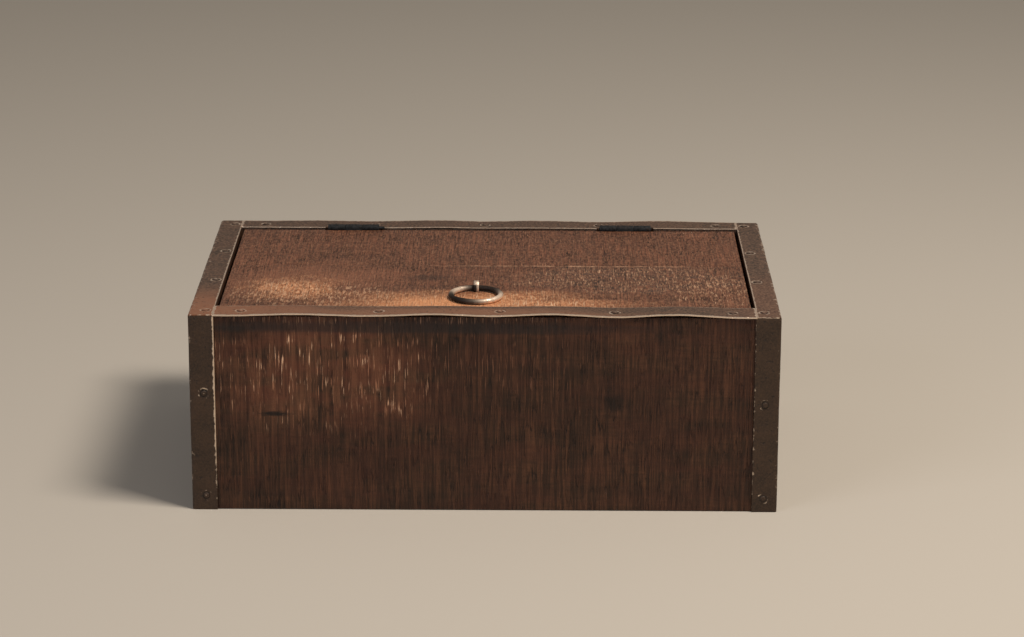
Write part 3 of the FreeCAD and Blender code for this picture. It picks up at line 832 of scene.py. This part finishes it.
def hammer(sheet, places, rest=0.10, extra=None):
    """Lift the sheet unevenly off the wood, with a dimple round each nail, all in mm."""
    pick_faces(sheet, lambda middle, normal: min((middle - place).length
                                                 for place in places) < FINE_NET_REACH)
    bpy.ops.mesh.subdivide(number_cuts=2)
    leave_edit()
    lifts = []
    for point in sheet.data.vertices:
        wave = rest
        for to_the_metre, height in (LONG_WAVES, SHORT_WAVES):
            wave += noise.noise(point.co * to_the_metre) * height
        if extra:
            wave += extra(point.co)
        for place in places:
            wave -= DIMPLE_DEPTH * math.exp(-((point.co - place).length / MM / DIMPLE_REACH) ** 2)
        lifts.append(point.normal * max(wave, LOWEST) * MM)
    for point, lift in zip(sheet.data.vertices, lifts):
        point.co += lift


def thicken(sheet):
    apply_modifier(sheet, "SOLIDIFY", thickness=SHEET, offset=-1.0)
    ease(sheet, SHEET_EASED)
    close_slivers(sheet)


# %% [markdown]
# The wear of a strip is worked out from each point's distance to the nearest edge and to
# the nearest nail. Round a nail there is first a ring of dirt, and then one where the
# hammer and the polishing cloth have rubbed the sheet, drawn pale also as a painted
# highlight on the rim of the dimple.

# %% Storing wear on the points
DIRT_RING = 1.9                 # mm from the middle of a nail
# the rubbed ring round a nail, drawn pale also as a painted highlight
RUBBED_HIGHLIGHT_RING = 2.4
RUBBED_HIGHLIGHT_RING_HALF = 0.6
DIRTY = -0.9


def mark_wear(piece, amount):
    """Store how rubbed (to 1) or dirty (to -1) each point is, from a function of its place."""
    wear = piece.data.attributes.new("wear", "FLOAT", "POINT")
    for point, value in zip(piece.data.vertices, wear.data):
        value.value = max(-1.0, min(1.0, amount(point.co)))


def rubbed_highlit_or_dirty(rubbed, p, heads, ring_wear_and_highlight=0.85):
    """The wear of the edges, with a dirty ring and a rubbed ring round each nail's head. The rubbed
    ring is drawn pale also as a painted highlight on the dimple's rim.
    """
    gap = min((p - head).length for head in heads) / MM
    if gap < DIRT_RING:
        return DIRTY
    return max(0.0, rubbed, ring_wear_and_highlight * (1 - abs(gap - RUBBED_HIGHLIGHT_RING) / RUBBED_HIGHLIGHT_RING_HALF))


def fade(gap, reach_mm):
    """1 on a line, down to 0 at reach_mm from it."""
    return 1.0 - abs(gap) / (reach_mm * MM)


# %% [markdown]
# The CAD keeps the nails of one strip in one node, so its mesh is first sorted into
# separate solids: points at one place, and points that an edge joins, belong together.

# %% Places of the nails, from the CAD
NAIL_LENGTH = 8.0 * MM
NAIL_HEAD_HEIGHT = 0.45 * MM


def separate_solids(node):
    """Points of each separate solid in a CAD node: a point joins every group it touches."""
    mesh = frame["nodes"][node].data
    parent = list(range(len(mesh.vertices)))
    at_place = {}

    def root(i):
        while parent[i] != i:
            parent[i] = parent[parent[i]]
            i = parent[i]
        return i

    for vertex in mesh.vertices:
        key = tuple(round(c / MM, 3) for c in vertex.co)
        parent[root(vertex.index)] = root(at_place.setdefault(key, vertex.index))
    for edge in mesh.edges:
        parent[root(edge.vertices[0])] = root(edge.vertices[1])
    groups = {}
    for vertex in mesh.vertices:
        groups.setdefault(root(vertex.index), []).append(vertex.co)
    return list(groups.values())


def nail_places(node):
    """(middle of the underside of the head, outward direction) of each nail in a group."""
    found = []
    for points in separate_solids(node):
        low = Vector([min(p[i] for p in points) for i in range(3)])
        high = Vector([max(p[i] for p in points) for i in range(3)])
        size, middle = high - low, (low + high) / 2
        axis = max(range(3), key=lambda i: size[i])
        outward = Vector((0, 0, 0))
        outward[axis] = 1.0 if axis == 2 or middle[axis] > 0 else -1.0
        found.append((middle + outward * (size[axis] / 2 - NAIL_HEAD_HEIGHT), outward))
    return sorted(found, key=lambda f: tuple(f[0]))


nails = {node: nail_places(node) for node in frame["nodes"] if node.endswith("_strip_nails")}
print("nails:", {node: len(places) for node, places in nails.items()})


def places_of(strip):
    return [place for place, _ in nails[strip + "_nails"]]


# %% [markdown]
# The strips along the tops of the ends are angles: one leg lies on the end board's top
# edge and the other hangs down outside. Over the corner strips the top leg runs on by
# the thickness of the sheet.

# %% The strips along the top of the two ends
def finish_strip(sheet, name, node, material):
    finish_piece(sheet, name, "case", material, (node,), smooth_degrees=40)


def make_end_strip(hand, side):
    node = hand + "_end_strip"
    low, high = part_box(node)
    inner = min(abs(low.x), abs(high.x))
    heads = places_of(node)
    sheet = lay_sheet((side * inner, -WOOD_Y, METAL_TOP), (0, 1, 0), (side, 0, 0), 2 * WOOD_Y,
                      rows_across(METAL_X - inner - BEND_RADIUS))
    fold((side * (METAL_X - BEND_RADIUS), 0, METAL_TOP - BEND_RADIUS), (0, side, 0))
    widen((0, 0, -1), rows_across(METAL_TOP - low.z - BEND_RADIUS)[::-1])
    leave_edit()
    for end in (-1, 1):
        pick_edges(sheet, lambda a, b: all(end * p.y > WOOD_Y - TINY and p.z > METAL_TOP - TINY
                                           for p in (a, b)))
        widen((0, end, 0), [METAL_Y - WOOD_Y])
        leave_edit()
    face_outward(sheet, (side * (inner + METAL_X) / 2, 0, METAL_TOP), (0, 0, 1))
    hammer(sheet, heads)
    thicken(sheet)

    def wear(p):
        bend = 0.45 * fade((METAL_X - abs(p.x)) + (METAL_TOP - p.z), 1.7)
        inner_edge = fade(abs(p.x) - inner, 0.9)
        lower_edge = 0.8 * fade(p.z - low.z, 0.8)
        end_edge = 0.5 * fade(METAL_Y - abs(p.y), 1.0)
        return rubbed_highlit_or_dirty(max(bend, inner_edge, lower_edge, end_edge), p, heads)

    mark_wear(sheet, wear)
    finish_strip(sheet, node + "_folded", node, top_copper)


make_end_strip("left", -1)
make_end_strip("right", 1)

# %% [markdown]
# The upright strips meet the end strips edge to edge. Their front legs run on up to the
# underside of the end strip, and their inner edges have curled a third of a millimetre
# off the wood, more at the top than at the bottom, so they catch the light.

# %% The upright strips at the four corners
CURL = 0.34                     # mm at the inner edge
CURL_REACH = 2.4                # mm in from the edge
CURL_AT_FOOT = 0.35             # share of the curl at the bottom of the box
CURL_WAVES = 90.0               # to the metre, so about 11 mm long
UPPER_ROWS = 7                  # in the front leg beside the end strip
EDGE_HIGHLIGHT_FULL_FROM = 42 * MM        # the left edge's painted highlight is full above this height
EDGE_HIGHLIGHT_AT_FOOT = 0.1              # and this strong at its foot
RIGHT_EDGE_HIGHLIGHT = 0.34


def make_corner_strip(face, hand, y_side, x_side):
    node = f"{face}_{hand}_corner_strip"
    low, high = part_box(node)
    inner_x = min(abs(low.x), abs(high.x))
    inner_y = min(abs(low.y), abs(high.y))
    end_leg_top = end_strip_low.z - TINY
    face_leg = METAL_Y - BEND_RADIUS
    heads = places_of(node)
    sheet = lay_sheet((x_side * inner_x, y_side * METAL_Y, 0), (0, 0, 1), (x_side, 0, 0),
                      end_leg_top, rows_across(METAL_X - inner_x - BEND_RADIUS))
    fold((x_side * (METAL_X - BEND_RADIUS), y_side * face_leg, 0), (0, 0, -x_side * y_side))
    widen((0, -y_side, 0), rows_across(face_leg - inner_y)[::-1])
    leave_edit()
    pick_edges(sheet, lambda a, b: all(p.z > end_leg_top - TINY and abs(p.y) > face_leg + TINY
                                       for p in (a, b)))
    widen((0, 0, 1), [(WOOD_TOP - end_leg_top) / UPPER_ROWS] * UPPER_ROWS)
    face_outward(sheet, (x_side * (inner_x + METAL_X) / 2, y_side * METAL_Y, end_leg_top / 2),
                 (0, y_side, 0))

    def curl(p):
        upright = CURL_AT_FOOT + (1 - CURL_AT_FOOT) * p.z / WOOD_TOP
        waver = 0.7 + 0.6 * noise.noise(Vector((x_side, y_side, p.z * CURL_WAVES)))
        gap = abs(p.x) - inner_x if abs(p.y) > face_leg else abs(p.y) - inner_y
        return CURL * upright * waver * math.exp(-gap / MM / CURL_REACH)

    hammer(sheet, heads, extra=curl)
    thicken(sheet)

    def wear(p):
        # painted highlight along the inner edge: brightest on the left strips, where the light
        # catches the curled edge, full high up and weaker towards the foot, and fainter on the
        # right strips; the edges are worn as well
        rubbed = min(1.0, EDGE_HIGHLIGHT_AT_FOOT + p.z / EDGE_HIGHLIGHT_FULL_FROM) if x_side < 0 else RIGHT_EDGE_HIGHLIGHT
        front_edge = 1.2 * fade(abs(p.x) - inner_x, 1.2) * rubbed
        bend = 0.3 * fade((METAL_X - abs(p.x)) + (METAL_Y - abs(p.y)), 1.5)
        end_edge = 0.8 * fade(abs(p.y) - inner_y, 0.7)
        return rubbed_highlit_or_dirty(max(front_edge, bend, end_edge), p, heads, ring_wear_and_highlight=0.5)

    mark_wear(sheet, wear)
    finish_strip(sheet, node + "_folded", node, upright_copper)


for face, y_side in (("front", -1), ("back", 1)):
    for hand, x_side in (("left", -1), ("right", 1)):
        make_corner_strip(face, hand, y_side, x_side)

# %% [markdown]
# The front and back strips are flat. They have buckled between their nails, and the
# CAD strip knows by how much, so a ray is dropped on it at each point of the net to
# read the height of the wave. The wave is full at the outer edge and is less than half
# as high beside the lid.

# %% The flat strips along the front and back rims
SHARE_AT_INNER_EDGE = 0.4       # of the wave's full height
RAY_INSET = 0.3 * MM            # the rays fall this far inside the outer edge
RAY_START = 0.2                 # and from this height in metres, well above the box
SNIP = 0.25 * MM                # snips leave the outer edge a little uneven
SNIP_WAVES = 130.0              # to the metre, so about 8 mm long


def make_rim_strip(face, y_side):
    node = face + "_rim_strip"
    low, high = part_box(node)
    inner, outer = sorted((abs(low.y), abs(high.y)))
    heads = places_of(node)
    sheet = lay_sheet((-high.x, y_side * inner, METAL_TOP), (1, 0, 0), (0, y_side, 0), 2 * high.x,
                      rows_across(outer - inner, far_edge_free=True))
    face_outward(sheet, (0, y_side * (inner + outer) / 2, METAL_TOP), (0, 0, 1))
    cad_mesh = frame["nodes"][node].data
    cad_strip = BVHTree.FromPolygons([v.co for v in cad_mesh.vertices],
                                     [p.vertices for p in cad_mesh.polygons])
    hammer(sheet, heads, rest=0.06)
    for point in sheet.data.vertices:
        x = max(-high.x + TINY, min(high.x - TINY, point.co.x))
        above = Vector((x, y_side * (outer - RAY_INSET), RAY_START))
        rise = cad_strip.ray_cast(above, Vector((0, 0, -1)))[0].z - METAL_TOP
        across = (abs(point.co.y) - inner) / (outer - inner)
        point.co.z += rise * (SHARE_AT_INNER_EDGE + (1 - SHARE_AT_INNER_EDGE) * across)
        if across > 0.99:
            snipped = noise.noise(Vector((point.co.x * SNIP_WAVES, y_side, 0)))
            point.co.y += y_side * SNIP * snipped
    thicken(sheet)
    for cut_low, cut_high in hinge_cuts if face == "back" else ():
        cut_out(sheet, cut_low, cut_high)

    def wear(p):
        # the outer edge is rubbed pale, and is drawn stronger and wider than the other edges as a
        # painted highlight where the light catches the edge of the sheet
        outer_edge = 1.2 * fade(abs(p.y) - outer, 1.3)
        inner_edge = 0.9 * fade(abs(p.y) - inner, 0.7)
        end_edge = fade(high.x - abs(p.x), 0.7)
        return rubbed_highlit_or_dirty(max(outer_edge, inner_edge, end_edge), p, heads)

    mark_wear(sheet, wear)
    finish_strip(sheet, node + "_buckled", node, top_copper)


make_rim_strip("front", -1)
make_rim_strip("back", 1)

# %% [markdown]
# ## Nails
# A copper nail was driven at every place that the CAD gives. One is modelled: a disc is
# extruded up in steps that get narrower, which makes the low dome. Its underside is inset
# and extruded down into the shank and the point. Each copy has its own mesh and is tipped
# a few degrees, because no hammer strikes quite straight. The nails of one strip are
# joined into one piece.

# %% One domed nail
NAIL_HEAD_RADIUS = 1.4 * MM
NAIL_SHANK_RADIUS = 0.6 * MM
NAIL_POINT = 1.5 * MM
BLUNT = 0.2                     # width of the point's tip, as a share of the shank's
DOME_STEPS = ((0.12, 1.0), (0.14, 0.88), (0.11, 0.72), (0.06, 0.5), (0.02, 0.2))  # height, share


def make_nail():
    select_only()
    bpy.ops.mesh.primitive_circle_add(vertices=20, radius=NAIL_HEAD_RADIUS, fill_type="NGON")
    nail = bpy.context.object
    pick_all_faces(nail)
    size = 1.0
    for height, share in DOME_STEPS:
        widen((0, 0, 1), [height * MM])
        bpy.ops.transform.resize(value=[share / size] * 2 + [1.0])
        size = share
    leave_edit()
    # the disc that the dome grew out of is now its underside, and the shank grows from it
    pick_faces(nail, lambda middle, normal: abs(middle.z) < TINY)
    bpy.ops.mesh.inset(thickness=NAIL_HEAD_RADIUS - NAIL_SHANK_RADIUS)
    widen((0, 0, -1), [NAIL_LENGTH - NAIL_HEAD_HEIGHT - NAIL_POINT, NAIL_POINT])
    bpy.ops.transform.resize(value=(BLUNT, BLUNT, 1.0))
    leave_edit()
    turn_outward(nail)
    return nail


# %% Driving the nails of each strip
NAIL_LIFT = 0.05 * MM           # the sheet's unevenness lifts the heads
MOST_TIPPED = 0.22              # sideways for each unit up
HEAD_RUBBED = 0.75              # wear in the middle of a head
HEAD_RUBBED_REACH = 1.1 * MM    # where it has fallen by one


def tipped(place):
    """An upright direction that leans by up to about twelve degrees."""
    lean = Vector((noise.noise(place * 310.0), noise.noise(place * 270.0), 0))
    return Vector((0, 0, 1)) + lean * MOST_TIPPED


def turn_up_to(direction):
    """The turn that points Z along a direction."""
    return direction.to_track_quat("Z", "Y").to_matrix().to_4x4()


def drive_nails(node, material, master):
    copies = []
    for place, outward in nails[node]:
        copy = bpy.data.objects.new("nail", master.data.copy())
        bpy.context.collection.objects.link(copy)
        copy.data.transform(Matrix.Translation(place + outward * NAIL_LIFT)
                            @ turn_up_to(outward) @ turn_up_to(tipped(place)))
        copies.append(copy)
    select_only(*copies)
    bpy.ops.object.join()
    group = bpy.context.object
    heads = [place + outward * NAIL_HEAD_HEIGHT for place, outward in nails[node]]

    def wear(p):
        return HEAD_RUBBED - min((p - head).length for head in heads) / HEAD_RUBBED_REACH

    mark_wear(group, wear)
    finish_piece(group, node + "_domed", "case", material, (node,), smooth_degrees=50)


nail_master = make_nail()
for node in nails:
    drive_nails(node, upright_copper if "corner" in node else top_copper, nail_master)
bpy.data.objects.remove(nail_master)


# %% [markdown]
# ## Hinges
# The two hinges are small iron butts, blackened by age, with a bluish skin of scale.
# The scale is an oxide, so it is only partly metallic. Edges and the rims of the barrel
# are rubbed down to grey iron. The rims and the top of the barrel are also drawn lighter
# as painted highlights.

# %% Finish of the blackened iron
def blackened_iron(name, dark="#040404", light="#0a0b0c", bright="#45474a"):
    """Blue-black scale on iron, with a little brown rust and rubbed edges."""
    material, tree, shader = new_material(name)
    scale = streaks(tree, [1.6] * 3, 0.3, 0.7, detail=4.0)
    rust = streaks(tree, [2.6] * 3, 0.58, 0.74, detail=4.0)
    rubbed = times(tree, stored_wear(tree), streaks(tree, [1.1] * 3, 0.3, 0.7, detail=3.0))
    colour = paint(tree, linear(dark), light, scale)
    colour = paint(tree, colour, "#3b261c", rust, 0.6)
    # grey where the stored value is high: rubbed iron, and on the hinges also painted highlights
    colour = paint(tree, colour, bright, rubbed, 0.9)
    relief = [(scale, 1.0), (rust, 0.8)]
    join_finish(tree, shader, colour, (rubbed, 0.1, 0.8), (scale, 0.7, 0.85), relief, 0.08)
    shader.inputs["Specular IOR Level"].default_value = 0.25
    return material


hinge_iron = blackened_iron("blackened_iron")
nail_iron = blackened_iron("rusted_iron", "#2a211b", "#463329", "#7d7268")
print("iron finishes:", hinge_iron.name, nail_iron.name)

# %% [markdown]
# A leaf is a plate that stands in the joint. Its top edge is split where the knuckles
# begin and end. The parts that carry a knuckle are extruded up to the height of the pin
# and spun round it, as a smith rolls them round a rod.

# %% Sizes of a hinge
pin_low, pin_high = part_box("right_hinge_pin")
PIN_RADIUS = (pin_high.z - pin_low.z) / 2
HINGE_Y, HINGE_Z = (pin_low.y + pin_high.y) / 2, (pin_low.z + pin_high.z) / 2
LEAF_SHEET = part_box("right_hinge_box_leaf")[1].y - HINGE_Y - PIN_RADIUS
BARREL_RADIUS = PIN_RADIUS + LEAF_SHEET
KNUCKLES = 3
KNUCKLE_GAP = 0.15 * MM
ROLL = math.radians(318)        # the roll stops short of the plate
ROLL_STEPS = 18
SCREW_HEAD_RADIUS = 1.95 * MM
SCREW_SHANK_RADIUS = 0.95 * MM
LEAF_EASED = 0.14 * MM
print(f"barrel {2 * BARREL_RADIUS / MM:.2f} mm across, leaf {LEAF_SHEET / MM:.2f} mm thick")


# %% Countersunk screw holes
def screw_places(node):
    """The middle of each screw's head in a CAD group, as X and Z."""
    middles = []
    for points in separate_solids(node):
        along, _, up = zip(*points)
        middles.append(((min(along) + max(along)) / 2, (min(up) + max(up)) / 2))
    return middles


def countersink(leaf, x, z, side):
    """The hole is widest on the side of the pin's axis, where the screw's head shows."""
    bpy.ops.object.select_all(action="DESELECT")
    bpy.ops.mesh.primitive_cone_add(vertices=24, radius1=SCREW_SHANK_RADIUS,
                                    radius2=SCREW_HEAD_RADIUS, depth=LEAF_SHEET * 1.02)
    cutter = bpy.context.object
    middle = Vector((x, HINGE_Y + side * (PIN_RADIUS + LEAF_SHEET / 2), z))
    cutter.data.transform(Matrix.Translation(middle) @ turn_up_to(Vector((0, -side, 0))))
    apply_modifier(leaf, "BOOLEAN", object=cutter, operation="DIFFERENCE", solver="EXACT")
    bpy.data.objects.remove(cutter)


# %% The leaves with their knuckles
def make_leaf(hand, part, side, body, odd):
    """side is +1 for the leaf on the back board; odd picks the knuckles that it carries."""
    node = f"{hand}_hinge_{part}_leaf"
    low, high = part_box(f"{hand}_hinge_box_leaf")
    width = high.x - low.x
    pitch = width / KNUCKLES
    face_y = HINGE_Y + side * BARREL_RADIUS
    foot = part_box(node)[0].z
    shoulder = HINGE_Z - BARREL_RADIUS - KNUCKLE_GAP
    leaf = lay_sheet((low.x, face_y, foot), (1, 0, 0), (0, 0, 1), width, [shoulder - foot],
                     net=width)
    for i in range(1, KNUCKLES):
        for gap in (-KNUCKLE_GAP / 2, KNUCKLE_GAP / 2):
            bpy.ops.mesh.select_all(action="SELECT")
            bpy.ops.mesh.bisect(plane_co=(low.x + pitch * i + gap, 0, 0), plane_no=(1, 0, 0))
    leave_edit()

    def carries(a, b):
        along = ((a.x + b.x) / 2 - low.x) / pitch
        in_gap = abs(a.x - b.x) < 2 * KNUCKLE_GAP
        return min(a.z, b.z) > shoulder - TINY and not in_gap and int(along) % 2 == odd

    pick_edges(leaf, carries)
    widen((0, 0, 1), [HINGE_Z - shoulder])
    fold((0, HINGE_Y, HINGE_Z), (side, 0, 0), ROLL, ROLL_STEPS)
    face_outward(leaf, ((low.x + high.x) / 2, face_y, (foot + shoulder) / 2), (0, side, 0))
    apply_modifier(leaf, "SOLIDIFY", thickness=LEAF_SHEET, offset=-1.0)
    for x, z in screw_places(f"{hand}_hinge_{part}_screws"):
        countersink(leaf, x, z, side)
    ease(leaf, LEAF_EASED)
    ends = [low.x + pitch * i for i in range(KNUCKLES + 1)]

    def wear(p):
        # painted highlights: the rims of the knuckles and the top of the barrel are drawn lighter,
        # where the light catches them; the rims and the foot are worn as well
        rim = fade(min(abs(p.x - end) for end in ends), 0.5) if p.z > shoulder else 0.0
        top = 0.2 * max(0.0, (p.z - HINGE_Z) / BARREL_RADIUS)
        return max(0.0, rim, top, 0.6 * fade(p.z - foot, 0.5))

    mark_wear(leaf, wear)
    finish_piece(leaf, node + "_rolled", body, hinge_iron, (node,), smooth_degrees=40)


# %% The pins, with both ends hammered into low domes
PIN_DOME = ((0.14, 0.86), (0.08, 0.62), (0.03, 0.3))    # height in mm, share of the last width
PIN_SHORTENED = 0.5 * MM        # by the height of the two domes


def make_pin(hand):
    node = hand + "_hinge_pin"
    low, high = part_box(node)
    select_only()
    bpy.ops.mesh.primitive_cylinder_add(vertices=24, radius=PIN_RADIUS,
                                        depth=high.x - low.x - PIN_SHORTENED,
                                        location=((low.x + high.x) / 2, HINGE_Y, HINGE_Z),
                                        rotation=(0, math.pi / 2, 0))
    pin = bpy.context.object
    bpy.ops.object.transform_apply(location=True, rotation=True, scale=True)
    for end in (-1, 1):
        pick_faces(pin, lambda middle, normal: normal.x * end > 0.9)
        for height, share in PIN_DOME:
            widen((end, 0, 0), [height * MM])
            bpy.ops.transform.resize(value=(1.0, share, share))
        leave_edit()
    mark_wear(pin, lambda p: 0.6)
    finish_piece(pin, node + "_domed", "case", hinge_iron, (node,), smooth_degrees=45)


for hand in ("left", "right"):
    make_leaf(hand, "box", 1, "case", 0)
    make_leaf(hand, "lid", -1, "lid", 1)
    make_pin(hand)

# %% The CAD screws, brads and base nails keep their shape and take the iron finishes
for node in frame["nodes"]:
    if node.endswith("_screws") or node in ("case_brads", "base_nails"):
        for slot in frame["nodes"][node].material_slots:
            slot.material = hinge_iron if node.endswith("_screws") else nail_iron
            print(node, "takes", slot.material.name)

# %% [markdown]
# ## Ring and staple
# The ring is bronze wire that has been handled for years: brown in the hollows and
# polished on the outside. Its two bright places, at the right of the front and on the
# inner side at the left of the back, are painted highlights. It was forged by hand, so
# the wire is a little thicker in some places than in others. The staple is a flat strap
# of the same metal, bent round into an eye. Its legs go through the lid and are clenched
# underneath.

# %% Finish of the bronze, rubbed and with painted highlights
def bronze_with_painted_highlights(name):
    material, tree, shader = new_material(name)
    blotches = streaks(tree, [3.5] * 3, 0.3, 0.7, detail=4.0)
    specks = streaks(tree, [0.7] * 3, 0.4, 0.7)
    rubbed = times(tree, stored_wear(tree), streaks(tree, [1.6] * 3, 0.15, 0.5, detail=3.0))
    colour = paint(tree, linear("#0f0c0a"), "#241a14", blotches)
    colour = paint(tree, colour, "#4b392c", specks, 0.25)
    # painted highlight: where the stored value is high the bronze is drawn pale cream, standing in
    # for the light that catches the metal
    colour = paint(tree, colour, "#ffe6cf", rubbed)
    relief = [(blotches, 1.0), (specks, 0.3)]
    join_finish(tree, shader, colour, (rubbed, 0.15, 0.65), (rubbed, 0.6, 0.34), relief, 0.1)
    shader.inputs["Specular IOR Level"].default_value = 0.3
    return material


bronze = bronze_with_painted_highlights("bronze_with_painted_highlights")

# %% The ring
WIRE_RADIUS = 1.25 * MM
WIRE_UNEVEN = 0.34 * MM
FORGE_MARKS = 6.0 * MM

ring_low, ring_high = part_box("ring_pull")
ring_middle = (ring_low + ring_high) / 2
hang = ring_middle - PULL_AXIS
tilt = math.atan2(-hang.z, -hang.y)

select_only()
bpy.ops.mesh.primitive_torus_add(major_radius=(ring_high.x - ring_low.x) / 2 - WIRE_RADIUS,
                                 minor_radius=WIRE_RADIUS, major_segments=96, minor_segments=20)
ring = bpy.context.object
ring.name = "ring"
roughen(ring, WIRE_UNEVEN, FORGE_MARKS, 0.05)
ring.data.transform(Matrix.Translation(ring_middle) @ Matrix.Rotation(tilt, 4, "X"))
print("the ring is tipped by", round(math.degrees(tilt), 1), "degrees")

# %% Where the ring carries its painted highlights
# painted highlights at the right of the front and at the left of the back, where the light catches
# the wire, drawn as pale polished bronze
HIGHLIGHT_PLACES = ((-38, 36, 1.3), (146, 24, 1.0))   # direction and reach in degrees, strength


def ring_wear_and_highlight(p):
    offset = p - ring_middle
    direction = math.degrees(math.atan2(offset.y, offset.x))
    rubbed = 0.0
    for place, reach, strength in HIGHLIGHT_PLACES:
        turn = (direction - place + 180) % 360 - 180
        rubbed = max(rubbed, strength * math.exp(-(turn / reach) ** 2))
    return rubbed


mark_wear(ring, ring_wear_and_highlight)
finish_piece(ring, "ring_pull_forged", "pull", bronze, ("ring_pull",), smooth_degrees=60)

# %% [markdown]
# The staple starts as a small rectangle, the cross-section of its strap, placed at the
# bottom of the eye. It is spun round the eye. Each end is then bent into a leg, extruded
# down through the lid, bent outwards under it and drawn out to a point.

# %% The staple
STRAP = 0.9 * MM
STRAP_WIDTH = staple_high.x - staple_low.x
EYE_RADIUS = 1.75 * MM + STRAP / 2      # to the middle of the strap
EYE_STRETCH = 0.7 * MM          # the eye was drawn a little taller than it is wide
EYE_OPEN = math.radians(22)     # half of the gap at its bottom, where the legs start
EYE_STEPS = 24
NECK = 0.6 * MM                 # bend from the eye into a leg
CLENCH = 0.7 * MM               # bend from a leg into its foot
FOOT_POINT = 1.5 * MM
STRAP_EASED = 0.16 * MM


def bend_leg(strap, side):
    """side +1 is the leg behind the ring, and -1 the leg in front of it."""
    outward = Vector((0, side * math.sin(EYE_OPEN), -math.cos(EYE_OPEN)))
    start = PULL_AXIS + outward * EYE_RADIUS
    neck = start + outward * NECK
    clench_z = LID_UNDERSIDE + CLENCH - STRAP / 2
    leg_y = neck.y - side * NECK
    foot = abs((staple_high.y if side > 0 else staple_low.y) - leg_y) - CLENCH - FOOT_POINT
    pick_faces(strap, lambda middle, normal: (middle - start).length < 0.1 * MM)
    fold(neck, (side, 0, 0), math.pi / 2 - EYE_OPEN, 4)
    widen((0, 0, -1), [neck.z - clench_z])
    fold((0, leg_y + side * CLENCH, clench_z), (side, 0, 0), math.pi / 2, 5)
    widen((0, side, 0), [foot, FOOT_POINT])
    bpy.ops.transform.resize(value=(0.5, 1.0, 0.5))
    leave_edit()


def make_staple():
    select_only()
    bpy.ops.mesh.primitive_plane_add(size=1.0)
    strap = bpy.context.object
    place = Matrix.Translation(PULL_AXIS) @ Matrix.Rotation(-EYE_OPEN, 4, "X")
    place = place @ Matrix.Translation((0, 0, -EYE_RADIUS)) @ Matrix.Rotation(math.pi / 2, 4, "X")
    strap.data.transform(place @ Matrix.Diagonal((STRAP_WIDTH, STRAP, 1.0, 1.0)))
    pick_all_faces(strap)
    fold(PULL_AXIS, (1, 0, 0), -2 * (math.pi - EYE_OPEN), EYE_STEPS)
    leave_edit()
    for side in (1, -1):
        bend_leg(strap, side)
    turn_outward(strap)
    for point in strap.data.vertices:
        above = max(0.0, (point.co.z - PULL_AXIS.z) / EYE_RADIUS)
        point.co.z += EYE_STRETCH * min(1.0, above)
    staple_x = (staple_low.x + staple_high.x) / 2
    strap.data.transform(Matrix.Translation((staple_x - PULL_AXIS.x, 0, 0)))
    ease(strap, STRAP_EASED)
    return strap


def staple_highlight_and_wear(p):
    """A painted highlight along the right edge, where the light catches the strap; the crown is
    rubbed and the rest is marked dirty.
    """
    crown = p.z > PULL_AXIS.z + EYE_RADIUS * 0.9
    return max(fade(STRAP_WIDTH / 2 - (p.x - PULL_AXIS.x), 0.8), 0.3 if crown else -0.6)


staple = make_staple()
mark_wear(staple, staple_highlight_and_wear)
finish_piece(staple, "ring_staple_bent", "lid", bronze, ("ring_staple",), smooth_degrees=35)


# %% [markdown]
# ## Liner
# Tea must be kept dry and away from the wood, so the box is lined with an open tray of
# tinned sheet. It has a floor and four walls, and its top edge is folded over into a
# hem. The hem is made here as the tinsmith makes it: the edge is drawn up, turned inwards
# and drawn down again. Tin is a dull grey metal that dries in flat crystals, which are
# drawn as the cells of a Voronoi pattern. Tea has stained it brown in places.

# %% Finish of the tinned sheet
def tinned_sheet():
    material, tree, shader = new_material("stained_tinned_sheet")
    place = add_node(tree, "ShaderNodeTexCoord").outputs["Object"]
    crystals = add_node(tree, "ShaderNodeTexVoronoi", {"Vector": place, "Scale": 1 / (5.0 * MM)})
    tone = add_node(tree, "ShaderNodeRGBToBW", {0: crystals.outputs["Color"]}).outputs[0]
    stains = streaks(tree, [26.0] * 3, 0.45, 0.7, detail=5.0)
    colour = paint(tree, linear("#7d7f80"), "#979a9c", tone)
    colour = paint(tree, colour, "#6b5642", stains, 0.6)
    dents = streaks(tree, [30.0] * 3, 0.2, 0.8)
    join_finish(tree, shader, colour, 0.85, (stains, 0.36, 0.6), [(dents, 1.0)], 0.6)
    return material


# %% The tray with its hem
TIN = 0.5 * MM
HEM = 5.0 * MM
HEM_INSET = 0.7 * MM
TRAY_CORNER = 2.0 * MM
TIN_EASED = 0.12 * MM


def make_liner():
    low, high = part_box("tin_liner")
    middle = (low + high) / 2
    tray = block(low, high)
    pick_faces(tray, lambda centre, normal: normal.z > 0.9)
    bpy.ops.mesh.delete(type="ONLY_FACE")
    leave_edit()
    pick_edges(tray, lambda a, b: abs(a.z - b.z) > HEM)
    bpy.ops.mesh.bevel(offset=TRAY_CORNER, segments=5)
    leave_edit()
    pick_edges(tray, lambda a, b: min(a.z, b.z) > high.z - TINY)
    inside = [1 - 2 * HEM_INSET / (high[i] - low[i]) for i in (0, 1)]
    bpy.ops.mesh.extrude_region_move()
    bpy.ops.transform.resize(value=inside + [1.0], center_override=middle)
    widen((0, 0, -1), [HEM])
    face_outward(tray, (middle.x, middle.y, low.z), (0, 0, -1))
    apply_modifier(tray, "SOLIDIFY", thickness=TIN, offset=-1.0, use_even_offset=True)
    ease(tray, TIN_EASED)
    return tray


liner = make_liner()
finish_piece(liner, "tin_liner_hemmed", "case", tinned_sheet(), ("tin_liner",), smooth_degrees=40)
